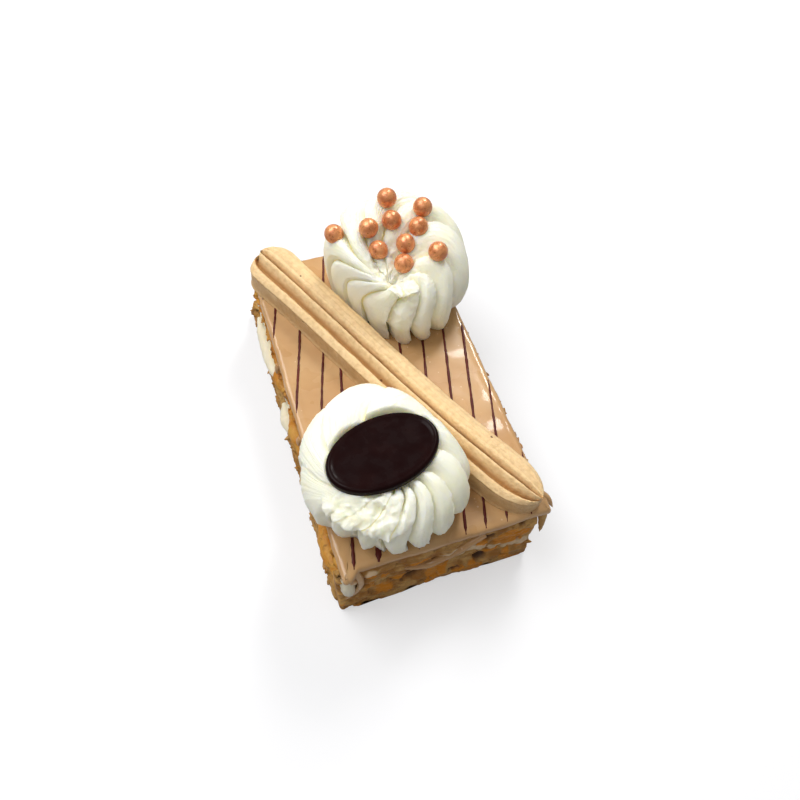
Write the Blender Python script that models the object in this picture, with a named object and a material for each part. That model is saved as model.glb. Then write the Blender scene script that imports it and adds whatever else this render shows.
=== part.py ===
"""Mille feuille slice: flaky pastry and cream layers under striped icing, with piped cream on top.

Units are metres and +Z is up. X is the slice's width, Y its length with the front end at -Y, and
the origin lies on the underside at the middle of the slice.
"""

import math
from dataclasses import dataclass

import bmesh
import bpy
from mathutils import Matrix, Vector, noise

MM = 0.001
GAP = 0.3 * MM

# Slice
SLICE_WIDTH = 56 * MM
SLICE_LENGTH = 100 * MM
CORNER_RADIUS = 1.6 * MM
OUTLINE_SPACING = 8.5 * MM

# Layer heights, from the underside up
BOTTOM_PASTRY_TOP = 6.2 * MM
FILLING_TOP = 13.4 * MM
TOP_PASTRY_TOP = 20.4 * MM
ICING_TOP = 22.8 * MM
PASTRY_LEAVES = 4
LEAF_WANDER = 1.1 * MM
CREAM_BULGE = 1.2 * MM

# How far the lower pastry stands out past the icing, and the chipped front right corner
FOOT_LEFT = 2.0 * MM
FOOT_FRONT = 2.4 * MM
FOOT_BACK = 2.6 * MM
FOOT_CHIP = 5.0 * MM
FILLING_CHIP = 3.0 * MM

# Piped coffee cream bar, laid corner to corner
BAR_START = Vector((-21.6, 43.9)) * MM
BAR_TIP = Vector((25.7, -48.4)) * MM
BAR_BEND = 2.0 * MM
BAR_HALF_WIDTH = 7.0 * MM
BAR_HEIGHT = 8.4 * MM
BAR_RIDGES = 5
BAR_GROOVE = 1.5 * MM
BAR_SHOULDER = 0.10
BAR_NOSE = 14 * MM
BAR_SIDE = (BAR_TIP - BAR_START).orthogonal().normalized()

# Chocolate plaque
PLAQUE_LENGTH = 28.4 * MM
PLAQUE_WIDTH = 18.8 * MM
PLAQUE_THICKNESS = 2.6 * MM
PLAQUE_CENTRE = Vector((-11.6, -30.4, 41.6)) * MM
PLAQUE_TURN = math.radians(11)
PLAQUE_TILT = math.radians(-3)

# Sugar pearls
PEARL_DIAMETER = 5.6 * MM
PEARL_SINK = 0.36


@dataclass(frozen=True)
class Rosette:
    """A piped swirl of cream whose folds run out from a hub that sits off its middle."""

    centre: Vector
    radius: float
    height: float
    hub: Vector
    folds: int
    first_fold: float
    twist: float
    crowd: float
    crowd_at: float
    press_side: Vector
    press_limit: float
    lean: Vector


BACK_ROSETTE = Rosette(
    centre=Vector((11.4, 29.6)) * MM, radius=21.8 * MM, height=23.5 * MM,
    hub=Vector((-4.6, -9.8)) * MM, folds=12, first_fold=math.radians(20),
    twist=math.radians(-62), crowd=0.28, crowd_at=math.radians(255),
    press_side=-BAR_SIDE, press_limit=16.8 * MM, lean=Vector((0.08, 0.26)))
FRONT_ROSETTE = Rosette(
    centre=Vector((-9.9, -28.9)) * MM, radius=21.9 * MM, height=19.5 * MM,
    hub=Vector((-1.5, -6.0)) * MM, folds=11, first_fold=math.radians(8),
    twist=math.radians(-62), crowd=0.30, crowd_at=math.radians(265),
    press_side=BAR_SIDE, press_limit=17 * MM, lean=Vector((0.0, 0.10)))

FOLD_EDGE = 0.86
FOLD_TURNS = (0.0, 0.14, 0.40, 0.68, 0.88, 0.97)
HUB_HEIGHT = 0.80
CREST_AT = 0.36
SHOULDER_AT = 0.80
BASE_TUCK = 0.10
FOLD_DEPTH = 0.135

# Pearls on the back rosette: heading in degrees around its middle, distance in rosette radii
PEARL_PLACES = (
    (154, 0.80), (150, 0.36), (189, 0.25), (86, 0.51), (88, 0.22),
    (10, 0.32), (31, 0.51), (322, 0.13), (272, 0.30), (319, 0.57))


def clear_scene() -> None:
    """Remove every object from the scene."""
    for old in list(bpy.data.objects):
        bpy.data.objects.remove(old, do_unlink=True)


def make_material(name: str, colour: tuple, roughness: float, metallic: float = 0.0):
    """Return a Principled material of one colour."""
    material = bpy.data.materials.new(name)
    material.use_nodes = True
    shader = material.node_tree.nodes["Principled BSDF"]
    shader.inputs["Base Color"].default_value = (*colour, 1.0)
    shader.inputs["Roughness"].default_value = roughness
    shader.inputs["Metallic"].default_value = metallic
    material.diffuse_color = (*colour, 1.0)
    return material


def add_object(name: str, mesh: bmesh.types.BMesh, material, crease: float):
    """Make an object from a bmesh, shaded smooth up to the crease angle."""
    bmesh.ops.recalc_face_normals(mesh, faces=mesh.faces)
    data = bpy.data.meshes.new(name)
    mesh.to_mesh(data)
    mesh.free()
    data.materials.append(material)
    data.shade_smooth()
    data.set_sharp_from_angle(angle=crease)
    thing = bpy.data.objects.new(name, data)
    bpy.context.collection.objects.link(thing)
    return thing


def loft(rings: list) -> bmesh.types.BMesh:
    """Return a closed skin over rings of equal point count, each end closed by a fan."""
    mesh = bmesh.new()
    rows = [[mesh.verts.new(point) for point in ring] for ring in rings]
    count = len(rows[0])
    for lower, upper in zip(rows, rows[1:]):
        for i in range(count):
            j = (i + 1) % count
            mesh.faces.new((lower[i], lower[j], upper[j]))
            mesh.faces.new((lower[i], upper[j], upper[i]))
    for row in (rows[0], rows[-1]):
        middle = mesh.verts.new(sum((v.co for v in row), Vector()) / count)
        for i in range(count):
            mesh.faces.new((row[i], row[(i + 1) % count], middle))
    return mesh


def rounded_outline(corners: list, radius: float, spacing: float) -> list:
    """Return points and outward normals around a convex outline, counter-clockwise."""
    points = []
    count = len(corners)
    for i, corner in enumerate(corners):
        before = (corners[i - 1] - corner).normalized()
        after = (corners[(i + 1) % count] - corner).normalized()
        bisector = (before + after).normalized()
        half_angle = before.angle(after) / 2
        middle = corner + bisector * radius / math.sin(half_angle)
        start = corner + before * radius / math.tan(half_angle)
        end = corner + after * radius / math.tan(half_angle)
        for foot in (start, corner + bisector * radius * (1 / math.sin(half_angle) - 1), end):
            points.append((foot, (foot - middle).normalized()))
        following = corners[(i + 1) % count]
        next_before = (corner - following).normalized()
        next_after = (corners[(i + 2) % count] - following).normalized()
        next_start = following + next_before * radius / math.tan(next_before.angle(next_after) / 2)
        run = next_start - end
        steps = max(2, round(run.length / spacing))
        side = Vector((run.y, -run.x)).normalized()
        for step in range(1, steps):
            points.append((end + run * step / steps, side))
    return points


def wander(point: Vector, size: float, seed: float) -> float:
    """Return a smooth value from about -1 to 1 that changes over the given size."""
    return 2 * noise.noise(Vector((point.x / size, point.y / size, seed)))


def flaky_slab(name: str, corners: list, bottom: float, top: float, seed: float, material):
    """Make a pastry layer whose side is a stack of leaves, each wandering in and out."""
    outline = rounded_outline(corners, CORNER_RADIUS, OUTLINE_SPACING)
    rings = []
    leaf_height = (top - bottom) / PASTRY_LEAVES
    for leaf in range(PASTRY_LEAVES):
        for edge in (0.0, 0.72):
            if leaf == PASTRY_LEAVES - 1 and edge:
                edge = 1.0
            level = bottom + (leaf + edge) * leaf_height
            ring = []
            for point, normal in outline:
                shift = LEAF_WANDER * wander(point, 11 * MM, seed + 7.3 * leaf) - LEAF_WANDER
                ring.append((*(point + normal * shift), level))
            rings.append(ring)
    return add_object(name, loft(rings), material, math.radians(40))


def bulging_slab(name: str, corners: list, bottom: float, top: float, seed: float, material):
    """Make a cream layer whose side bulges between the layers that press on it."""
    outline = rounded_outline(corners, CORNER_RADIUS, OUTLINE_SPACING)
    rings = []
    for part in (0.0, 0.3, 0.7, 1.0):
        level = bottom + (top - bottom) * part
        bulge = CREAM_BULGE * math.sin(math.pi * (0.12 + 0.76 * part))
        ring = []
        for point, normal in outline:
            shift = bulge * (1 + 0.5 * wander(point, 16 * MM, seed)) - CREAM_BULGE
            ring.append((*(point + normal * shift), level))
        rings.append(ring)
    return add_object(name, loft(rings), material, math.radians(40))


def rectangle(half: Vector) -> list:
    """Return the corners of a centred rectangle, counter-clockwise."""
    return [Vector((-half.x, -half.y)), Vector((half.x, -half.y)),
            Vector((half.x, half.y)), Vector((-half.x, half.y))]


def make_bottom_pastry(material):
    """Make the lower pastry, wider than the icing and chipped at the front right corner."""
    half = Vector((SLICE_WIDTH / 2, SLICE_LENGTH / 2))
    edge = LEAF_WANDER
    corners = [
        Vector((-half.x - FOOT_LEFT, -half.y - FOOT_FRONT)),
        Vector((half.x - FOOT_CHIP, -half.y - edge)),
        Vector((half.x - edge, -half.y + FOOT_CHIP)),
        Vector((half.x, half.y + edge)),
        Vector((-half.x - FOOT_LEFT, half.y + FOOT_BACK))]
    return flaky_slab("pastry_bottom", corners, 0.0, BOTTOM_PASTRY_TOP, 3.1, material)


def make_top_pastry(material):
    """Make the upper pastry, flush with the icing that covers it."""
    half = Vector((SLICE_WIDTH / 2, SLICE_LENGTH / 2))
    return flaky_slab("pastry_top", rectangle(half), FILLING_TOP + GAP, TOP_PASTRY_TOP, 40.7, material)


def make_filling(material):
    """Make the cream layer between the two pastries, short of the chipped corner."""
    corners = rectangle(Vector((SLICE_WIDTH / 2 + CREAM_BULGE, SLICE_LENGTH / 2 + CREAM_BULGE / 2)))
    corners[1] += Vector((-FILLING_CHIP, FILLING_CHIP / 2))
    return bulging_slab("cream_filling", corners, BOTTOM_PASTRY_TOP + GAP, FILLING_TOP, 5.2, material)


def make_icing(material):
    """Make the icing sheet, its upper edge rounded over."""
    half = Vector((SLICE_WIDTH / 2, SLICE_LENGTH / 2))
    outline = rounded_outline(rectangle(half), CORNER_RADIUS, OUTLINE_SPACING)
    bottom = TOP_PASTRY_TOP + GAP
    edge = 0.9 * MM
    rings = [[(*(point - normal * 0.3 * MM), bottom) for point, normal in outline]]
    for angle in (0.0, 45.0, 90.0):
        inset = edge * (1 - math.cos(math.radians(angle)))
        level = ICING_TOP - edge * (1 - math.sin(math.radians(angle)))
        rings.append([(*(point - normal * inset), level) for point, normal in outline])
    return add_object("icing", loft(rings), material, math.radians(40))


def bar_section(grow: float) -> list:
    """Return the bar's cross-section as (sideways, up) pairs: a low arch with rounded ridges."""
    steps = BAR_RIDGES * 4
    section = []
    for i in range(steps + 1):
        angle = math.pi * i / steps
        groove = BAR_GROOVE * abs(math.sin(math.pi * BAR_RIDGES * i / steps + math.pi / 2)) ** 3
        across = -math.cos(angle) * (BAR_HALF_WIDTH - groove * abs(math.cos(angle)) + grow)
        up = math.sin(angle) ** 0.62 * (BAR_HEIGHT - groove) + grow if 0 < i < steps else -grow
        section.append((across, up))
    return section


def make_bar(name: str, material, grow: float = 0.0):
    """Make the piped bar: a round start, an even run and ridges that close up at the tip."""
    base = ICING_TOP + GAP
    run = BAR_TIP - BAR_START
    length = run.length
    along = run / length
    across = Vector((-along.y, along.x))
    section = bar_section(grow)
    stations = [-BAR_HALF_WIDTH * math.cos(math.radians(a)) for a in (6, 25, 45, 65, 90)]
    even = 15
    stations += [(length - BAR_NOSE) * i / even for i in range(1, even + 1)]
    nose_steps = 6
    stations += [length - BAR_NOSE * (1 - i / nose_steps) for i in range(1, nose_steps)]
    stations.append(length - 0.4 * MM)
    rings = []
    for place in stations:
        size = 1.0
        if place < 0:
            size = math.sqrt(max(0.02, 1 - (place / BAR_HALF_WIDTH) ** 2))
        if place > length - BAR_NOSE:
            part = (place - length + BAR_NOSE) / BAR_NOSE
            size = math.sqrt(max(0.0, 1 - part ** 1.8)) * (1 - 0.25 * part) + 0.02
        size *= 1 + BAR_SHOULDER * max(0.0, 1 - max(0.0, place) / (length / 2))
        bend = BAR_BEND * math.sin(math.pi * min(1.0, max(0.0, place / length)))
        middle = BAR_START + along * place - across * bend
        ring = []
        for sideways, up in section:
            foot = middle - across * sideways * size
            ring.append((*foot, base + up * (0.25 + 0.75 * size)))
        rings.append(ring)
    return add_object(name, loft(rings), material, math.radians(50))


def swirl_profile(part: float) -> tuple:
    """Return a swirl's radius and height, as fractions, from the hub (0) over the crest to the base (1)."""
    if part < CREST_AT:
        rise = part / CREST_AT
        return 0.5 * rise, HUB_HEIGHT + (1 - HUB_HEIGHT) * math.sin(math.pi / 2 * rise) ** 2
    if part < SHOULDER_AT:
        turn = math.pi / 2 * (part - CREST_AT) / (SHOULDER_AT - CREST_AT)
        return 0.5 + 0.5 * math.sin(turn), 0.45 + 0.55 * math.cos(turn)
    fall = (part - SHOULDER_AT) / (1 - SHOULDER_AT)
    return 1 - BASE_TUCK * fall ** 2, 0.45 * (1 - fall)


def fold_angle(rosette: Rosette, turn: float) -> float:
    """Return the heading of a place on the ring, folds crowding together on the near side."""
    angle = rosette.first_fold + 2 * math.pi * turn / rosette.folds
    return angle - rosette.crowd * math.sin(angle - rosette.crowd_at)


def fold_rise(turn: float) -> float:
    """Return a fold's height from its crease (0) up a round back to its edge (1) and steeply down."""
    if turn < FOLD_EDGE:
        return math.sin(math.pi / 2 * turn / FOLD_EDGE) ** 0.8
    return math.cos(math.pi / 2 * (turn - FOLD_EDGE) / (1 - FOLD_EDGE)) ** 0.8


def swirl_point(rosette: Rosette, part: float, turn: float) -> Vector:
    """Return a surface point: part runs from hub to base, turn counts folds around the ring."""
    reach, rise = swirl_profile(part)
    step = 0.01
    reach_in, rise_in = swirl_profile(max(0.0, part - step))
    reach_out, rise_out = swirl_profile(min(1.0, part + step))
    slope = Vector((rosette.radius * (reach_out - reach_in), rosette.height * (rise_out - rise_in)))
    outward = Vector((-slope.y, slope.x)).normalized()
    heading = fold_angle(rosette, turn) + rosette.twist * reach ** 1.6
    depth = FOLD_DEPTH * rosette.radius * (1 - fold_rise(turn % 1.0)) * min(1.0, reach / 0.6)
    distance = rosette.radius * reach + depth * -outward.x
    level = rosette.height * rise - depth * outward.y * min(1.0, rise / 0.2)
    offset = rosette.hub * (1 - reach) ** 1.3
    offset += Vector((math.cos(heading), math.sin(heading))) * max(0.0, distance)
    toward = max(0.0, offset.dot(rosette.press_side))
    pressed = toward / (1 + (toward / rosette.press_limit) ** 4) ** 0.25
    place = rosette.centre + offset + rosette.press_side * (pressed - toward)
    level *= 1 + rosette.lean.dot(place - rosette.centre) / rosette.radius
    return Vector((*place, ICING_TOP + GAP + max(0.0, level)))


def make_rosette(name: str, rosette: Rosette, material, cutters: list):
    """Make a piped swirl and cut the pieces pressed into it out of its cream."""
    parts = [0.05, 0.15, 0.26, 0.37, 0.48, 0.59, 0.69, 0.79, 0.88, 0.95, 1.0]
    turns = [fold + turn for fold in range(rosette.folds) for turn in FOLD_TURNS]
    rings = [[swirl_point(rosette, part, turn) for turn in turns] for part in parts]
    swirl = add_object(name, loft(rings), material, math.radians(38))
    for cutter in cutters:
        cut = swirl.modifiers.new(cutter.name, "BOOLEAN")
        cut.operation = "DIFFERENCE"
        cut.object = cutter
    return swirl


def hide_cutter(cutter) -> None:
    """Leave a cutter out of the model."""
    cutter.hide_render = True
    cutter.display_type = "WIRE"


def make_plaque(name: str, material, grow: float = 0.0, rise: float = 0.0):
    """Make the oval chocolate plaque with a rounded rim, its face raised for use as a cutter."""
    half = PLAQUE_THICKNESS / 2 + grow
    steps = 28
    levels = ((-1.0, 0.55), (-0.7, 0.1), (0.3, 0.0), (0.85, 0.3), (1.0, 0.9))
    rings = []
    for level, inset in levels:
        height = level * half + (rise if level > 0 else 0.0)
        ring = []
        for i in range(steps):
            angle = 2 * math.pi * i / steps
            ring.append(((PLAQUE_LENGTH / 2 + grow - inset * half) * math.cos(angle),
                         (PLAQUE_WIDTH / 2 + grow - inset * half) * math.sin(angle), height))
        rings.append(ring)
    plaque = add_object(name, loft(rings), material, math.radians(45))
    turn = Matrix.Rotation(PLAQUE_TURN, 4, "Z") @ Matrix.Rotation(PLAQUE_TILT, 4, "X")
    plaque.matrix_world = Matrix.Translation(PLAQUE_CENTRE) @ turn
    return plaque


def make_ball(name: str, centre: Vector, radius: float, material):
    """Make a round pearl."""
    mesh = bmesh.new()
    bmesh.ops.create_uvsphere(mesh, u_segments=10, v_segments=7, radius=radius)
    ball = add_object(name, mesh, material, math.radians(60))
    ball.location = centre
    return ball


def pearl_centre(rosette: Rosette, heading: float, distance: float) -> Vector:
    """Return where a pearl sits: above the given place, sunk part of the way into the cream."""
    radius = PEARL_DIAMETER / 2
    foot = rosette.centre + Vector((math.cos(heading), math.sin(heading))) * distance * rosette.radius
    best = None
    for row in range(60):
        for turn in range(rosette.folds * 6):
            point = swirl_point(rosette, 0.02 + 0.78 * row / 59, turn / 6)
            gap = (point.xy - foot).length
            if best is None or gap < best[0]:
                best = (gap, point)
    return Vector((*foot, best[1].z + radius * (1 - 2 * PEARL_SINK)))


def build() -> None:
    """Build every piece of the slice."""
    clear_scene()
    crust = make_material("baked pastry", (0.42, 0.22, 0.06), 0.6)
    crust_top = make_material("caramelised pastry", (0.52, 0.24, 0.03), 0.5)
    filling = make_material("pastry cream", (0.86, 0.84, 0.72), 0.5)
    glaze = make_material("coffee icing", (0.66, 0.46, 0.25), 0.2)
    coffee = make_material("coffee cream", (0.80, 0.58, 0.32), 0.55)
    whipped = make_material("whipped cream", (0.95, 0.94, 0.80), 0.5)
    chocolate = make_material("dark chocolate", (0.012, 0.006, 0.004), 0.2)
    copper = make_material("copper sugar", (0.62, 0.22, 0.06), 0.35, 0.5)

    make_bottom_pastry(crust)
    make_filling(filling)
    make_top_pastry(crust_top)
    make_icing(glaze)
    make_bar("coffee_cream_bar", coffee)
    bar_cutter = make_bar("bar_cutter", coffee, 2 * GAP)
    hide_cutter(bar_cutter)

    make_plaque("plaque", chocolate)
    plaque_cutter = make_plaque("plaque_cutter", chocolate, GAP, 6 * MM)
    hide_cutter(plaque_cutter)
    make_rosette("rosette_front", FRONT_ROSETTE, whipped, [bar_cutter, plaque_cutter])

    cutters = [bar_cutter]
    for number, (heading, distance) in enumerate(PEARL_PLACES, start=1):
        centre = pearl_centre(BACK_ROSETTE, math.radians(heading), distance)
        make_ball(f"pearl_{number}", centre, PEARL_DIAMETER / 2, copper)
        cutter = make_ball(f"pearl_cutter_{number}", centre, PEARL_DIAMETER / 2 + GAP, copper)
        hide_cutter(cutter)
        cutters.append(cutter)
    make_rosette("rosette_back", BACK_ROSETTE, whipped, cutters)


build()
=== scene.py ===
"""Mille feuille slice: pastry, cream, striped coffee icing, a piped bar, two swirls, a plaque and sugar pearls."""

import logging
import math
from collections.abc import Callable
from dataclasses import asdict, dataclass
from enum import Enum
from typing import NamedTuple

import bpy
import numpy as np
from mathutils import Matrix, Vector


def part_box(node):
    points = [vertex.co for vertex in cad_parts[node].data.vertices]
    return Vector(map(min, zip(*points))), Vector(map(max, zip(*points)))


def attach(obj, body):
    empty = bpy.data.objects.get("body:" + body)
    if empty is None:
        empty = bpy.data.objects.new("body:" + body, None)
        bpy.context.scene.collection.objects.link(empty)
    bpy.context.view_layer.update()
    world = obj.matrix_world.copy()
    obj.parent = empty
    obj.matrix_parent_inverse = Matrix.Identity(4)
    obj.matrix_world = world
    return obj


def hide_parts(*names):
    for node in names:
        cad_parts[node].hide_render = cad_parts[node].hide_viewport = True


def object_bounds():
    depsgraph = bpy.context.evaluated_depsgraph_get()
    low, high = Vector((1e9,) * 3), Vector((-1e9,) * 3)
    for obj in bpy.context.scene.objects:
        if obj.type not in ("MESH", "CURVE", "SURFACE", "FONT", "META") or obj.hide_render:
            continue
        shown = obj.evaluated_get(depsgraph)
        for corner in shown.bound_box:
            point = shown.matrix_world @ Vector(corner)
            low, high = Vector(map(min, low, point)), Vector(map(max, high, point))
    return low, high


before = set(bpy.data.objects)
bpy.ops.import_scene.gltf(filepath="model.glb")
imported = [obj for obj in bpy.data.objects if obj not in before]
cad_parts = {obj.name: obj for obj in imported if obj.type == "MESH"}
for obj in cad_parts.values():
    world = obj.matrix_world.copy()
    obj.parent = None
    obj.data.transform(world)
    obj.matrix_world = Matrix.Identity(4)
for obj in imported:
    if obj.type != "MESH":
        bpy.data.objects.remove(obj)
CAD_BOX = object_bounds()

MM = 0.001
TURN = 2 * math.pi
LOG = logging.getLogger("mille_feuille")

Colour = tuple[int, int, int]
Pair = tuple[float, float]
Triple = tuple[float, float, float]
Array = np.ndarray
Object = bpy.types.Object
Material = bpy.types.Material
Socket = bpy.types.NodeSocket
Shape = Callable[[Array], Array]


class Slot(Enum):
    """Material slots of the record."""

    BAKED = "baked_pastry"
    CARAMELISED = "caramelised_pastry"
    FILLING = "pastry_cream"
    ICING = "coffee_icing"
    PIPED = "coffee_cream"
    WHIPPED = "whipped_cream"
    CHOCOLATE = "dark_chocolate"
    COPPER = "copper_sugar"


# -------------------- helpers


def linear(colour: Colour) -> tuple[float, float, float, float]:
    """Turns a screen colour from 0 to 255 into the linear one that a node takes.

    Args:
        colour: Red, green and blue.

    Returns:
        Linear red, green, blue and an alpha of one.
    """
    parts = [c / 255 for c in colour]
    made = [p / 12.92 if p <= 0.04045 else ((p + 0.055) / 1.055) ** 2.4 for p in parts]
    return (made[0], made[1], made[2], 1.0)


def value_noise(points: Array, size: float, seed: int) -> Array:
    """Smooth seeded noise.

    Args:
        points: Places, with three numbers in the last axis.
        size: How far apart the noise's own values are, in the units of the places.
        seed: Which noise it is.

    Returns:
        Values from -1 to 1, one for each place.
    """
    cell = np.asarray(points, float) / size
    base = np.floor(cell).astype(np.int64)
    part = cell - base
    part = part * part * (3 - 2 * part)
    total = np.zeros(cell.shape[:-1])
    for corner in np.ndindex(2, 2, 2):
        pick = base + np.array(corner)
        mixed = pick[..., 0] * 73856093 ^ pick[..., 1] * 19349663 ^ pick[..., 2] * 83492791
        mixed = mixed ^ (seed + 11) * 4256249
        mixed = (mixed ^ (mixed >> 13)) * 1274126177 & 0x7FFFFFFF
        mixed = (mixed ^ (mixed >> 15)) * 668265263 & 0x7FFFFFFF
        weight = np.prod(np.where(corner, part, 1 - part), axis=-1)
        total = total + (mixed / 0x3FFFFFFF - 1) * weight
    return total


def rough_noise(points: Array, size: float, seed: int, octaves: int = 3) -> Array:
    """Noise with finer noise on it, each octave half as large and half as strong."""
    layers = [value_noise(points, size / 2**n, seed + 7 * n) * 0.5**n for n in range(octaves)]
    return np.sum(layers, axis=0) / (2 - 2.0 ** (1 - octaves))


def smooth_step(values: Array, low: float, high: float) -> Array:
    """Turns values from 0 below low to 1 above high, smoothly."""
    part = np.clip((values - low) / (high - low), 0, 1)
    return part * part * (3 - 2 * part)


def keep_in_box(points: Array) -> Array:
    """Holds places inside the CAD model's box."""
    return np.clip(points, np.array(CAD_BOX[0]), np.array(CAD_BOX[1]))


def chip_corner(points: Array, limit: float) -> Array:
    """Breaks the front right corner off.

    Args:
        points: Places in millimetres.
        limit: How far out the broken face is.

    Returns:
        The places, with those beyond the broken face moved on to it.
    """
    out = np.array((0.9225, -0.386))
    beyond = points[..., :2] @ out - limit - 0.7 * rough_noise(points * (1, 1, 1.5), 2.6, 71)
    moved = points.copy()
    moved[..., :2] -= np.maximum(0, beyond)[..., None] * out
    return moved


def add_object(name: str, data: bpy.types.ID) -> Object:
    """Links a mesh, a light or a camera to the scene as an object at the origin.

    Args:
        name: The object's name.
        data: What it shows.

    Returns:
        The new object.
    """
    piece = bpy.data.objects.new(name, data)
    bpy.context.scene.collection.objects.link(piece)
    return piece


def mesh_object(
    name: str, points: Array, faces: list[tuple[int, ...]], smooth: bool = True
) -> Object:
    """Makes an object from points and faces.

    Args:
        name: The piece's name.
        points: Places in millimetres, one row each.
        faces: Point numbers of each face, turning left as seen from outside.
        smooth: Whether its faces are shaded smooth.

    Returns:
        The new object.
    """
    mesh = bpy.data.meshes.new(name)
    mesh.from_pydata((np.asarray(points) * MM).tolist(), [], faces)
    mesh.validate()
    mesh.shade_smooth() if smooth else mesh.shade_flat()
    return add_object(name, mesh)


def ring_object(name: str, rings: Array) -> Object:
    """Makes a closed skin through rings, from the lowest ring to the highest, with a point closing each end.

    Args:
        name: The piece's name.
        rings: Places in millimetres: ring, place on the ring (turning left as seen from above), coordinate.

    Returns:
        The new object.
    """
    count, around = rings.shape[:2]
    points = np.vstack([rings.reshape(-1, 3), rings[0].mean(axis=0), rings[-1].mean(axis=0)])
    here = np.arange(count - 1)[:, None] * around + np.arange(around)[None, :]
    beside = np.arange(count - 1)[:, None] * around + (np.arange(around) + 1)[None, :] % around
    quads = np.stack([here, beside, beside + around, here + around], axis=-1).reshape(-1, 4)
    low, high, top = count * around, count * around + 1, (count - 1) * around
    ends = [(low, (i + 1) % around, i) for i in range(around)]
    ends += [(high, top + i, top + (i + 1) % around) for i in range(around)]
    return mesh_object(name, points, [tuple(q) for q in quads.tolist()] + ends)


def store(piece: Object, name: str, values: Array) -> None:
    """Stores a number or a vector on each point of a piece.

    Args:
        piece: The object.
        name: The attribute's name.
        values: One number, or one row of three, for each point.
    """
    values = np.asarray(values, np.float32)
    kind, field = ("FLOAT", "value") if values.ndim == 1 else ("FLOAT_VECTOR", "vector")
    piece.data.attributes.new(name, kind, "POINT").data.foreach_set(field, values.ravel())


def path_object(
    name: str, points: Array, sizes: Array, closed: bool = False, edges: Array | None = None
) -> Object:
    """Makes a line of edges that a tree can sweep along, with a size on each point.

    Args:
        name: The object's name.
        points: Places in millimetres, one row each.
        sizes: One number for each place, stored as "size".
        closed: Whether the last place joins the first.
        edges: The ends of each edge, where there is more than one line.

    Returns:
        The new object.
    """
    count = len(points)
    if edges is None:
        edges = np.array([(i, (i + 1) % count) for i in range(count if closed else count - 1)])
    mesh = bpy.data.meshes.new(name)
    mesh.from_pydata((np.asarray(points) * MM).tolist(), edges.tolist(), [])
    piece = add_object(name, mesh)
    store(piece, "size", sizes)
    return piece


def join_lines(lines: list[Array]) -> tuple[Array, Array, Array]:
    """Puts lines after one another.

    Args:
        lines: For each line its places and sizes, four numbers in a row.

    Returns:
        All the places, all the sizes, and the ends of every edge.
    """
    starts = np.cumsum([0] + [len(line) for line in lines])
    edges = [(i, i + 1) for a, b in zip(starts[:-1], starts[1:]) for i in range(a, b - 1)]
    whole = np.vstack(lines)
    return whole[:, :3], whole[:, 3], np.array(edges)


def points_of(mesh: bpy.types.Mesh) -> Array:
    """Gives the places of a mesh's points, one row each, in metres."""
    places = np.zeros(len(mesh.vertices) * 3)
    mesh.vertices.foreach_get("co", places)
    return places.reshape(-1, 3)


def curve_through(knots: Array, steps: int, closed: bool = False) -> Array:
    """Runs a smooth curve through knots.

    Args:
        knots: Places, one row each.
        steps: How many places to give between two knots.
        closed: Whether the curve runs on from the last knot to the first.

    Returns:
        Places on the curve, one row each.
    """
    count = len(knots)
    made = []
    for i in range(count if closed else count - 1):
        places = [(i + k) % count if closed else min(max(i + k, 0), count - 1) for k in (-1, 0, 1, 2)]
        near = [knots[place] for place in places]
        squared = 2 * near[0] - 5 * near[1] + 4 * near[2] - near[3]
        cubed = 3 * near[1] - near[0] - 3 * near[2] + near[3]
        for t in np.arange(steps) / steps:
            made.append(0.5 * (2 * near[1] + (near[2] - near[0]) * t + squared * t**2 + cubed * t**3))
    return np.array(made if closed else made + [knots[-1]])


def enclosed_volume(mesh: bpy.types.Mesh) -> float:
    """Works out the volume that a mesh encloses.

    Args:
        mesh: A closed mesh.

    Returns:
        Its volume in cubic metres, below nought where its faces point inwards.
    """
    mesh.calc_loop_triangles()
    corners = np.zeros(len(mesh.loop_triangles) * 3, np.int32)
    mesh.loop_triangles.foreach_get("vertices", corners)
    a, b, c = points_of(mesh)[corners.reshape(-1, 3)].transpose(1, 0, 2)
    return float(np.einsum("ij,ij->", a, np.cross(b, c)) / 6)


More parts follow.
